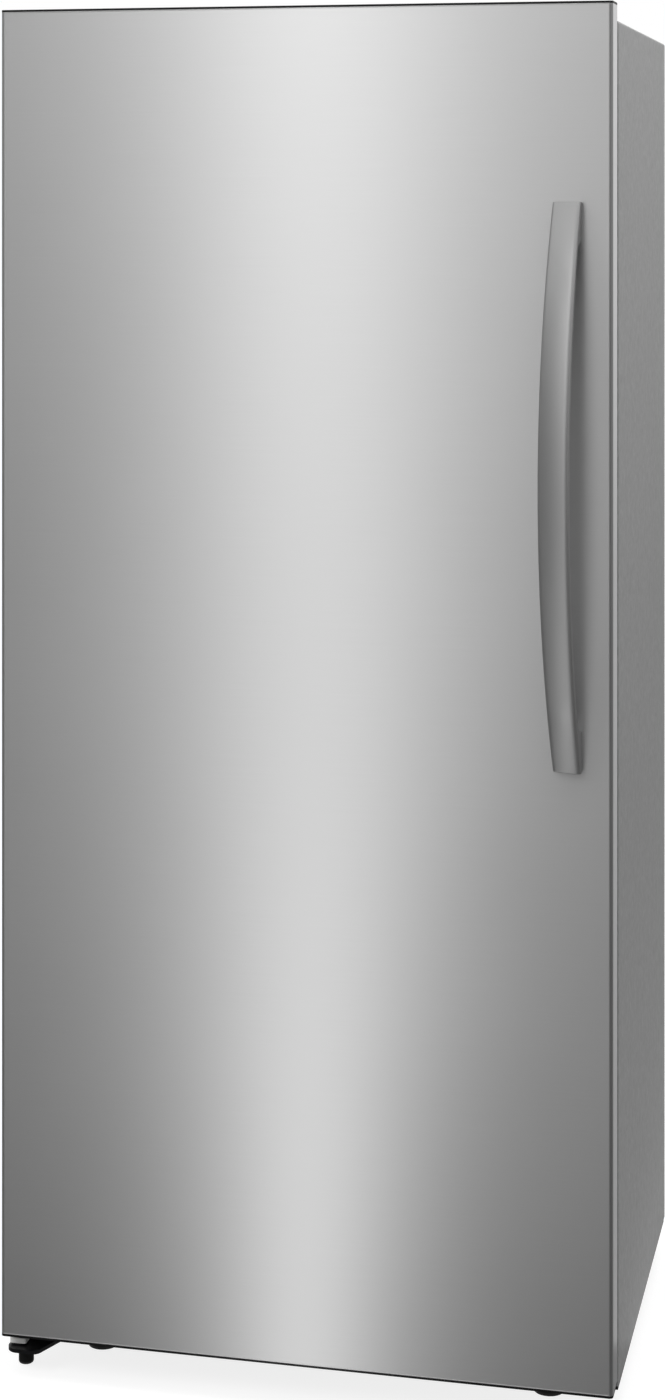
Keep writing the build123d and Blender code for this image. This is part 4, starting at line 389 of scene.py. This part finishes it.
print_grey = moulding("pad_print", grey(0.07), grey(0.09), 0.5)
dial_low, dial_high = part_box("control_dial")
dial_x, dial_z = (dial_low[0] + dial_high[0]) / 2, (dial_low[2] + dial_high[2]) / 2
GRIP_DEPTH = 0.0065
grip_face, disk_face = dial_low[1], dial_low[1] + GRIP_DEPTH
NUMBER_RING, NUMBER_SIZE = 0.0132, 0.0062
POINTER_WIDTH, POINTER_LENGTH, POINTER_RISE, POINTER_SINK = 0.0012, 0.011, 0.0085, 0.00004
WEDGE = 0.0013
PRINT = 0.00005


def printed(name):
    """Closes the active flat outline, which faces the front, into a thin print just proud of a surface."""
    mark = bpy.context.object
    mark.name = name
    select_only(mark)
    bpy.ops.object.transform_apply()
    bpy.ops.object.mode_set(mode="EDIT")
    bpy.ops.mesh.select_all(action="SELECT")
    bpy.ops.mesh.remove_doubles(threshold=0.00001)
    bpy.ops.mesh.extrude_region_move(TRANSFORM_OT_translate={"value": (0, -PRINT, 0)})
    bpy.ops.mesh.select_all(action="SELECT")
    bpy.ops.mesh.normals_make_consistent(inside=False)
    bpy.ops.object.mode_set(mode="OBJECT")
    mark.data.materials.append(print_grey)
    return mark


marks = []
for number, angle in enumerate((-125, -90, -55, 55, 90, 125), 1):
    bpy.ops.object.select_all(action="DESELECT")
    bpy.ops.object.text_add(rotation=(math.pi / 2, 0, 0))
    digit = bpy.context.object
    digit.data.body, digit.data.size = str(number), NUMBER_SIZE
    digit.data.align_x, digit.data.align_y = "CENTER", "CENTER"
    digit.location = (dial_x + NUMBER_RING * math.sin(math.radians(angle)), disk_face,
                      dial_z + NUMBER_RING * math.cos(math.radians(angle)))
    bpy.ops.object.convert(target="MESH")
    marks.append(printed(f"dial_number_{number}"))
bpy.ops.object.select_all(action="DESELECT")
bpy.ops.mesh.primitive_plane_add(size=1, rotation=(math.pi / 2, 0, 0),
                                 location=(dial_x, grip_face + POINTER_SINK, dial_z + POINTER_RISE))
bpy.context.object.scale = (POINTER_WIDTH, POINTER_LENGTH, 1)
marks.append(printed("dial_pointer"))
for mark in marks:
    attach(mark, "control_dial")
bpy.ops.object.select_all(action="DESELECT")
bpy.ops.mesh.primitive_circle_add(vertices=3, radius=WEDGE, fill_type="NGON", rotation=(math.pi / 2, 0, math.pi),
                                  location=(dial_x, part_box("control_housing")[0][1], dial_high[2] + WEDGE))
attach(printed("dial_index"), "cabinet")

# Finned coil: aluminium plates on a bent tube, with a dull oxide skin.
fins = bare_metal("dull_aluminium", (0.72, 0.73, 0.74), 25.0, 0.06, 0.38, 0.08)
dress(fins, "evaporator_coil")

# Welded wire shelves, dipped in white epoxy powder that rounds the welds.
epoxy, tree, shader, place = surface("white_epoxy", Coat_Weight=0.3, Coat_Roughness=0.15)
colour_with(tree, shader, place, (0.80, 0.81, 0.81, 1), 20.0, 0.02, 0.28, 0.05)
raise_bump(tree, shader, use(tree, peel, place, Dimple=0.004)["Height"], 0.00005)
dress(epoxy, "shelf_1", "shelf_2", "shelf_3", "shelf_4")

# Slide-out baskets and the lamp's lens: frosted clear polystyrene.
frost = moulding("frosted_polystyrene", (0.80, 0.86, 0.90, 1), (0.86, 0.91, 0.94, 1), 0.32, patch=6.0,
                 Transmission_Weight=0.55, IOR=1.55)
dress(frost, "basket_upper", "basket_lower", "light_lens")

# ------------------------------------------------------------ machine compartment and foam
# Compressor mounts of black rubber; discharge and suction tubes and the drier of drawn copper, tarnished in patches.
# Rigid foam fills the walls and the door, seen nowhere once the freezer is closed up.
rubber = moulding("black_rubber", grey(0.016), grey(0.024), 0.75, pit=0.0009)
dress(rubber, "compressor_grommets")
copper = bare_metal("drawn_copper", (0.72, 0.36, 0.24), 40.0, 0.14, 0.34, 0.1)
dress(copper, "refrigerant_lines", "filter_drier")
foam = moulding("rigid_foam", (0.62, 0.55, 0.36, 1), (0.74, 0.67, 0.46, 1), 0.9, pit=0.0012, depth=0.0002)
dress(foam, "cabinet_foam", "door_foam")

# ------------------------------------------------------------ door
# Stainless sheet folded round the door, ground with a fine belt from side to side. The grinding lines run level round
# the folds, so a light in front is drawn out into a tall soft band.
brush, brush_in, brush_out = effect(
    "belt_grain",
    [("Density", VECTOR, (8, 8, 1800)), ("Colour", COLOUR, grey(0.5)), ("Colour Shift", FLOAT, 0.03)],
    [("Colour", COLOUR)])
drawn = add(brush, "ShaderNodeVectorMath", [(0, brush_in["Vector"]), (1, brush_in["Density"])], operation="MULTIPLY")
lines = add(brush, "ShaderNodeTexNoise", [("Vector", drawn.outputs[0])], Scale=1.0, Detail=3.0, Roughness=0.65)
gain = calculate(brush, "MULTIPLY_ADD", swing(brush, lines.outputs["Fac"]), brush_in["Colour Shift"], 1.0)
brush.links.new(scaled(brush, brush_in["Colour"], gain), brush_out["Colour"])

# The door has a dark line along the fold on its open side. Its cause is a guess: the belt didn't reach, and the
# stretched steel is duller. It is painted shade: the steel's colour is darkened in a narrow strip along the fold.
# The width and strength were set to match the line.
FOLD_NEAR, FOLD_FAR = 0.0035, 0.0055
FOLD_SHADE = 0.66
painted_fold_shade, fold_in, fold_out = effect(
    "painted_fold_shade", [("Colour", COLOUR, grey(0.5)), ("Half Width", FLOAT, 0.4), ("Front", FLOAT, 0.0)],
    [("Colour", COLOUR)])
axes = add(painted_fold_shade, "ShaderNodeSeparateXYZ", [("Vector", fold_in["Vector"])])
to_side = calculate(painted_fold_shade, "SUBTRACT", fold_in["Half Width"], axes.outputs["X"])
to_front = calculate(painted_fold_shade, "SUBTRACT", axes.outputs["Y"], fold_in["Front"])
on_fold = calculate(painted_fold_shade, "MULTIPLY", spread(painted_fold_shade, to_side, FOLD_NEAR, FOLD_FAR, 1.0, 0.0),
                    spread(painted_fold_shade, to_front, FOLD_NEAR, FOLD_FAR, 1.0, 0.0))
# Painted shade: the colour is darker in the strip along the fold.
shade = spread(painted_fold_shade, on_fold, 0.0, 1.0, 1.0, FOLD_SHADE)
painted_fold_shade.links.new(scaled(painted_fold_shade, fold_in["Colour"], shade), fold_out["Colour"])

skin_low, skin_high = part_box("door_skin")
DOOR_PLANE = skin_low[1]
stainless, tree, shader, place = surface("ground_stainless", Metallic=0.78, Anisotropic=0.85,
                                         Anisotropic_Rotation=0.25)
belt = use(tree, brush, place, Density=(7, 7, 1500), Colour=grey(0.52), Colour_Shift=0.02)
# The steel's colour is darkened along the fold on the open side: painted shade.
fold = use(tree, painted_fold_shade, place, Colour=belt["Colour"], Half_Width=skin_high[0], Front=DOOR_PLANE)
colour_with(tree, shader, place, fold["Colour"], 2.0, 0.015, 0.31, 0.01)
dress(stainless, "door_skin")

# The skin's upper and lower edges are rolled to a small hem that catches the light beside the black caps. It runs round
# the front and both sides, and stops at the hinge's pocket above.
BEND, HEM = 0.005, 0.0007
SIDES_END, POCKET_EDGE = skin_high[1] - 0.003, -0.2745
JUST_BEHIND = DOOR_PLANE + 0.001
for name, height, hinge_side in (("upper_hem", skin_high[2] - HEM, POCKET_EDGE),
                                 ("lower_hem", skin_low[2] + HEM, SIDES_END)):
    bpy.ops.object.select_all(action="DESELECT")
    bpy.ops.mesh.primitive_plane_add(size=1, location=(0, 0, height))
    hem = bpy.context.object
    hem.name = name
    hem.scale = (skin_high[0] - skin_low[0] - 2 * HEM, 1, 1)
    bpy.ops.object.transform_apply()
    for corner in hem.data.vertices:
        back = hinge_side if corner.co.x < 0 else SIDES_END
        corner.co.y = DOOR_PLANE + HEM / 2 if corner.co.y < 0 else back
    edit_where(hem, lambda e: all(v.co.y > JUST_BEHIND for v in e.verts), "EDGE")
    bpy.ops.mesh.delete(type="EDGE_FACE")
    bpy.ops.object.mode_set(mode="OBJECT")
    edit_where(hem, lambda v: v.co.y < JUST_BEHIND)
    bpy.ops.mesh.bevel(offset=BEND, segments=8, affect="VERTICES")
    bpy.ops.object.mode_set(mode="OBJECT")
    bpy.ops.object.convert(target="CURVE")
    hem.data.bevel_depth, hem.data.bevel_resolution, hem.data.use_fill_caps = HEM, 3, True
    bpy.ops.object.convert(target="MESH")
    bpy.ops.object.shade_smooth()
    hem.data.materials.append(stainless)
    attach(hem, "door")

# Magnetic seal: soft grey vinyl, matt.
vinyl = moulding("soft_vinyl", grey(0.045), grey(0.06), 0.62, pit=0.0012)
dress(vinyl, "door_gasket")

# Door bins: clear-white polystyrene, glossy.
crystal = moulding("bin_polystyrene", (0.82, 0.85, 0.87, 1), (0.86, 0.89, 0.91, 1), 0.22, patch=6.0,
                   Transmission_Weight=0.25, IOR=1.55)
dress(crystal, *[f"door_bin_{k}" for k in range(1, 6)])

# ------------------------------------------------------------ handle
# Cast zinc bar, brushed lengthwise and plated darker than the door, on two studs that its feet slip over. Its crown
# stands near the open side and falls away towards the hinge; both ends flare back into feet and have rounded rims.
satin, tree, shader, place = surface("satin_handle", Metallic=0.62, Anisotropic=0.3, Anisotropic_Rotation=0.0)
strokes = use(tree, brush, place, Density=(1500, 1500, 9), Colour=grey(0.35), Colour_Shift=0.02)
colour_with(tree, shader, place, strokes["Colour"], 6.0, 0.02, 0.33, 0.02)

bar_low, bar_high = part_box("handle_bar")
HALF, MIDDLE = (bar_high[2] - bar_low[2]) / 2, (bar_high[2] + bar_low[2]) / 2
BAR_X, BAR_OUT = skin_high[0] - 0.057, 0.0836
LEAN = math.radians(6.5)
RISE = 0.067
BOW = (HALF ** 2 + RISE ** 2) / (2 * RISE)
HALF_WIDTH, BACK_HALF_WIDTH, THICKNESS = 0.02, 0.017, 0.016
FRONT_ROUNDING, BACK_ROUNDING, ROUNDING_STEPS = 0.0042, 0.0035, 6
HINGE_EDGE_FALL, OPEN_EDGE_FALL = 0.0006, 0.0009
CROWN_AT, CROWN_BEND, CROWN_POINTS = 0.013, 8.5, range(-15, 16, 3)
BACK_PART = 0.012
FOOT, FLARE, RIM = 0.052, 0.014, 0.0013
SWELL, SWELL_SHIFT = 0.09, 0.0009


def crown(across):
    """How far the face has fallen back from its crown at a place across the bar."""
    return CROWN_BEND * (across - CROWN_AT) ** 2 / 2


def rounded(before, corner, after, rounding):
    """Points of a soft curve that takes the place of a corner."""
    ends = []
    for other in (before, after):
        away = math.dist(other[:2], corner)
        ends.append([c + (o - c) * rounding / away for c, o in zip(corner, other)])
    return [tuple((1 - k) ** 2 * a + 2 * k * (1 - k) * b + k * k * c for a, b, c in zip(ends[0], corner, ends[1]))
            for k in (step / ROUNDING_STEPS for step in range(ROUNDING_STEPS + 1))]


# The section, across the bar and back from its outermost line: the crowned face, then the tapered back.
corners = [(-HALF_WIDTH, crown(-HALF_WIDTH) + HINGE_EDGE_FALL, FRONT_ROUNDING)]
corners += [(mm / 1000, crown(mm / 1000), 0) for mm in CROWN_POINTS]
corners += [(HALF_WIDTH, crown(HALF_WIDTH) + OPEN_EDGE_FALL, FRONT_ROUNDING),
            (BACK_HALF_WIDTH, THICKNESS, BACK_ROUNDING), (-BACK_HALF_WIDTH, THICKNESS, BACK_ROUNDING)]
section = []
for index, (u, v, rounding) in enumerate(corners):
    after = corners[(index + 1) % len(corners)]
    section += rounded(corners[index - 1], (u, v), after, rounding) if rounding else [(u, v)]

# Level slices from end to end, as (height, how far the back has turned into a foot, how far the rim draws in).
BAR_STEPS, FLARE_STEPS, FOOT_STEPS, RIM_STEPS = 48, 7, 6, 5


def steps(count):
    """Even fractions up to 1, without 0."""
    return [k / count for k in range(1, count + 1)]


foot_at = HALF - FOOT
bar_end = foot_at - FLARE
slices = [(-bar_end * math.cos(math.pi * t), 0.0, 0.0) for t in [0, *steps(BAR_STEPS)]]
end = [(bar_end + FLARE * t, 1 - math.sqrt(1 - t ** 2), 0.0) for t in steps(FLARE_STEPS)]
end += [(foot_at + (FOOT - RIM) * t, 1.0, 0.0) for t in steps(FOOT_STEPS)]
end += [(HALF - RIM + RIM * math.sin(math.pi / 2 * t), 1.0, RIM * (1 - math.cos(math.pi / 2 * t)))
        for t in steps(RIM_STEPS)]
slices = [(-z, foot, inset) for z, foot, inset in reversed(end)] + slices + end

form = bmesh.new()
rings = []
for z, foot, inset in slices:
    ring = []
    belly = 1 - (z / HALF) ** 2
    for u, v in section:
        u = u * (1 + SWELL * belly) - SWELL_SHIFT * belly
        out = BAR_OUT - BOW + math.sqrt((BOW - v) ** 2 - z * z)
        x, y = u * math.cos(LEAN) - out * math.sin(LEAN), -u * math.sin(LEAN) - out * math.cos(LEAN)
        if v > BACK_PART:
            y *= 1 - foot
        ring.append([BAR_X + x, DOOR_PLANE + y])
    centre = [sum(p[axis] for p in ring) / len(ring) for axis in (0, 1)]
    for p in ring:
        away = math.dist(p, centre)
        for axis in (0, 1):
            p[axis] += (centre[axis] - p[axis]) * inset / away
    rings.append([form.verts.new((*p, MIDDLE + z)) for p in ring])
for lower, upper in zip(rings, rings[1:]):
    for k in range(len(section)):
        form.faces.new((lower[k - 1], lower[k], upper[k], upper[k - 1]))
form.faces.new(rings[0])
form.faces.new(reversed(rings[-1]))
bmesh.ops.recalc_face_normals(form, faces=form.faces)
casting = bpy.data.objects.new("handle_casting", bpy.data.meshes.new("handle_casting"))
bpy.context.scene.collection.objects.link(casting)
form.to_mesh(casting.data)
form.free()
select_only(casting)
bpy.ops.object.shade_smooth_by_angle(angle=math.radians(32))
casting.data.materials.append(satin)
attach(casting, "door")
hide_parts("handle_bar")

# ------------------------------------------------------------ studio
# A white floor and surround. Reflections meet grey cards instead: plain ones at the sides and behind, and in front a
# wall and a floor cloth painted with the tall soft band and the fall of light that the door mirrors.
ROOM = 7.0
FRONT, REAR, TOP = -5.2, 6.0, 4.5
CLOTH, LANE_CLOTH = 0.004, 0.006


def card(name, corners):
    """A sheet that only reflections meet: the material's tree, its emission and the sheet's own coordinates."""
    mesh = bpy.data.meshes.new(name)
    mesh.from_pydata(corners, [], [(0, 1, 2, 3)])
    sheet = bpy.data.objects.new(name, mesh)
    bpy.context.scene.collection.objects.link(sheet)
    material = bpy.data.materials.new(name)
    material.use_nodes = True
    tree = material.node_tree
    tree.nodes.remove(tree.nodes["Principled BSDF"])
    glow = add(tree, "ShaderNodeEmission", Color=grey(1.0))
    tree.links.new(glow.outputs[0], tree.nodes["Material Output"].inputs["Surface"])
    mesh.materials.append(material)
    sheet.visible_camera = sheet.visible_diffuse = sheet.visible_transmission = sheet.visible_shadow = False
    place = add(tree, "ShaderNodeSeparateXYZ", [("Vector", tree.nodes.new("ShaderNodeTexCoord").outputs["Object"])])
    return tree, glow.inputs["Strength"], place.outputs


def wall(first, second):
    """Corners of an upright sheet over two points of the floor."""
    return [(*first, 0), (*second, 0), (*second, TOP), (*first, TOP)]


def cloth(near, far):
    """Corners of a level sheet just over the floor, as wide as the room."""
    return [(-ROOM, near, CLOTH), (ROOM, near, CLOTH), (ROOM, far, CLOTH), (-ROOM, far, CLOTH)]


def graded_card(name, corners, low, high, top=TOP):
    """A card whose glow grows from the floor to a height."""
    tree, strength, place = card(name, corners)
    tree.links.new(spread(tree, place["Z"], 0.0, top, low, high), strength)


def curve(tree, source, stops):
    """A value looked up in a table of (position, value) stops, joined by straight lines."""
    first, last = stops[0][0], stops[-1][0]
    ramp = add(tree, "ShaderNodeValToRGB", [("Fac", spread(tree, source, first, last, 0.0, 1.0))])
    elements = ramp.color_ramp.elements
    while len(elements) < len(stops):
        elements.new(0.5)
    for element, (position, value) in zip(elements, stops):
        element.position = (position - first) / (last - first)
        element.color = grey(value)
    return ramp.outputs["Color"]


# A point of the painted cards is named by where the sight line to it crosses the door: metres across and up. FALL is
# the light by height, SIDES its share from side to side, and BAND the strength of the tall band by height. They are
# strengths of light, set by comparing how bright the door and handle come out with how bright they are photographed.
EYE = (0.837, -3.6965, 1.6293)
FALL = [(0.0, 0.04), (0.165, 0.066), (0.255, 0.117), (0.384, 0.18), (0.58, 0.284), (0.84, 0.322), (1.1, 0.31),
        (1.35, 0.387), (1.61, 0.553), (1.84, 0.848), (2.3, 1.49), (2.8, 1.68)]
SIDES = [(-1.8, 0.05), (-0.75, 0.1), (-0.42, 0.70), (0.0, 0.84), (0.42, 0.88), (0.62, 0.75), (0.95, 0.45), (1.5, 0.35),
         (1.9, 0.3), (2.6, 0.2)]
BAND = [(0.1, 1.36), (0.2, 1.46), (0.33, 1.58), (0.53, 1.80), (0.8, 1.84), (1.07, 1.87), (1.34, 1.85), (1.61, 1.97),
        (1.82, 2.17), (2.3, 2.5)]
BAND_AT, BAND_WIDTH = 0.005, 0.084


def painted_card(name, corners):
    """A card that glows as the tables say, seen in the door from the eye's place."""
    tree, strength, place = card(name, corners)
    away = calculate(tree, "SUBTRACT", 2 * DOOR_PLANE - EYE[1], place["Y"])
    scale = calculate(tree, "DIVIDE", DOOR_PLANE - EYE[1], away)
    across = calculate(tree, "MULTIPLY_ADD", calculate(tree, "SUBTRACT", place["X"], EYE[0]), scale, EYE[0])
    up = calculate(tree, "MULTIPLY_ADD", calculate(tree, "SUBTRACT", place["Z"], EYE[2]), scale, EYE[2])
    plain = calculate(tree, "MULTIPLY", curve(tree, up, FALL), curve(tree, across, SIDES))
    off = calculate(tree, "DIVIDE", calculate(tree, "SUBTRACT", across, BAND_AT), BAND_WIDTH)
    band = calculate(tree, "DIVIDE", curve(tree, up, BAND), calculate(tree, "COSH", off))
    tree.links.new(calculate(tree, "ADD", plain, band), strength)


painted_card("front_wall", wall((-ROOM, FRONT), (ROOM, FRONT)))
painted_card("front_cloth", cloth(FRONT, DOOR_PLANE))
graded_card("left_wall", wall((-ROOM, FRONT), (-ROOM, REAR)), 0.10, 0.30)
graded_card("right_wall", wall((ROOM, FRONT), (ROOM, REAR)), 0.3, 0.75)
graded_card("rear_wall", wall((-ROOM, REAR), (ROOM, REAR)), 0.22, 1.1, 4.0)
graded_card("rear_cloth", cloth(DOOR_PLANE, REAR), 0.21, 0.21)

# A brighter lane behind, along the sight line that grazes the door's folded edge.
LANE_X = skin_high[0]
LANE_START, LANE_NEAR, LANE_FAR = 0.06, 0.4, 1.2
LANE_END = REAR - 0.02
graded_card("lane_on_cloth", [(LANE_X, 0.0, LANE_CLOTH), (LANE_X + LANE_START, 0.0, LANE_CLOTH),
                              (LANE_X + LANE_FAR, LANE_END, LANE_CLOTH), (LANE_X + LANE_NEAR, LANE_END, LANE_CLOTH)],
            0.70, 0.70)
graded_card("lane_on_wall", wall((LANE_X + LANE_NEAR, LANE_END), (LANE_X + LANE_FAR, LANE_END)), 0.64, 1.2, 4.0)


def seen_or_mirrored(tree):
    """1 on rays from the camera, from reflections and through clear plastic, and 0 on those that only light."""
    path = tree.nodes.new("ShaderNodeLightPath").outputs
    seen = calculate(tree, "MAXIMUM", path["Is Camera Ray"], path["Is Glossy Ray"])
    return calculate(tree, "MAXIMUM", seen, path["Is Transmission Ray"])


FLOOR_SIZE, FLOOR_GLOW = 60.0, 0.82
bpy.ops.object.select_all(action="DESELECT")
bpy.ops.mesh.primitive_plane_add(size=FLOOR_SIZE, location=(0, 0, 0))
floor = bpy.context.object
floor.name = "studio_floor"
ground, tree, shader, place = surface("white_floor", Base_Color=grey(0.30), Roughness=0.9)
fill = calculate(tree, "MULTIPLY", seen_or_mirrored(tree), FLOOR_GLOW)
glow = add(tree, "ShaderNodeEmission", [("Strength", fill)], Color=grey(1.0))
both = add(tree, "ShaderNodeAddShader", [(0, shader.outputs[0]), (1, glow.outputs[0])])
tree.links.new(both.outputs[0], tree.nodes["Material Output"].inputs["Surface"])
floor.data.materials.append(ground)

world = bpy.data.worlds.new("studio")
bpy.context.scene.world = world
world.use_nodes = True
tree = world.node_tree
sky = tree.nodes["Background"].inputs
tree.links.new(spread(tree, seen_or_mirrored(tree), 0.0, 1.0, 0.55, 1.0), sky["Strength"])
sky["Color"].default_value = grey(1.0)


def soft_lamp(name, place, aim, size, power):
    """A square soft lamp that reflections don't meet."""
    light = bpy.data.lights.new(name, "AREA")
    light.shape = "RECTANGLE"
    light.size, light.size_y, light.energy = size, size, power
    lamp = bpy.data.objects.new(name, light)
    bpy.context.scene.collection.objects.link(lamp)
    lamp.location = place
    x, y, z = [a - b for a, b in zip(aim, place)]
    lamp.rotation_euler = (math.atan2(math.hypot(x, y), -z), 0, math.atan2(y, x) - math.pi / 2)
    lamp.visible_camera = lamp.visible_glossy = False


soft_lamp("key_lamp", (-2.6, -3.6, 3.6), (0.0, 0.0, 1.0), 2.0, 90)
soft_lamp("top_lamp", (0.8, -0.6, 4.2), (0.2, 0.1, 1.0), 2.4, 70)

camera = bpy.data.objects.new("camera", bpy.data.cameras.new("camera"))
bpy.context.scene.collection.objects.link(camera)
camera.location = EYE
camera.rotation_euler = (math.radians(90), 0, math.radians(13.04))
camera.data.sensor_width = 36.0
camera.data.lens = 67.9
camera.data.shift_y = -0.367
camera.data.clip_end = 200.0
bpy.context.scene.camera = camera
bpy.context.scene.view_settings.view_transform = "Standard"
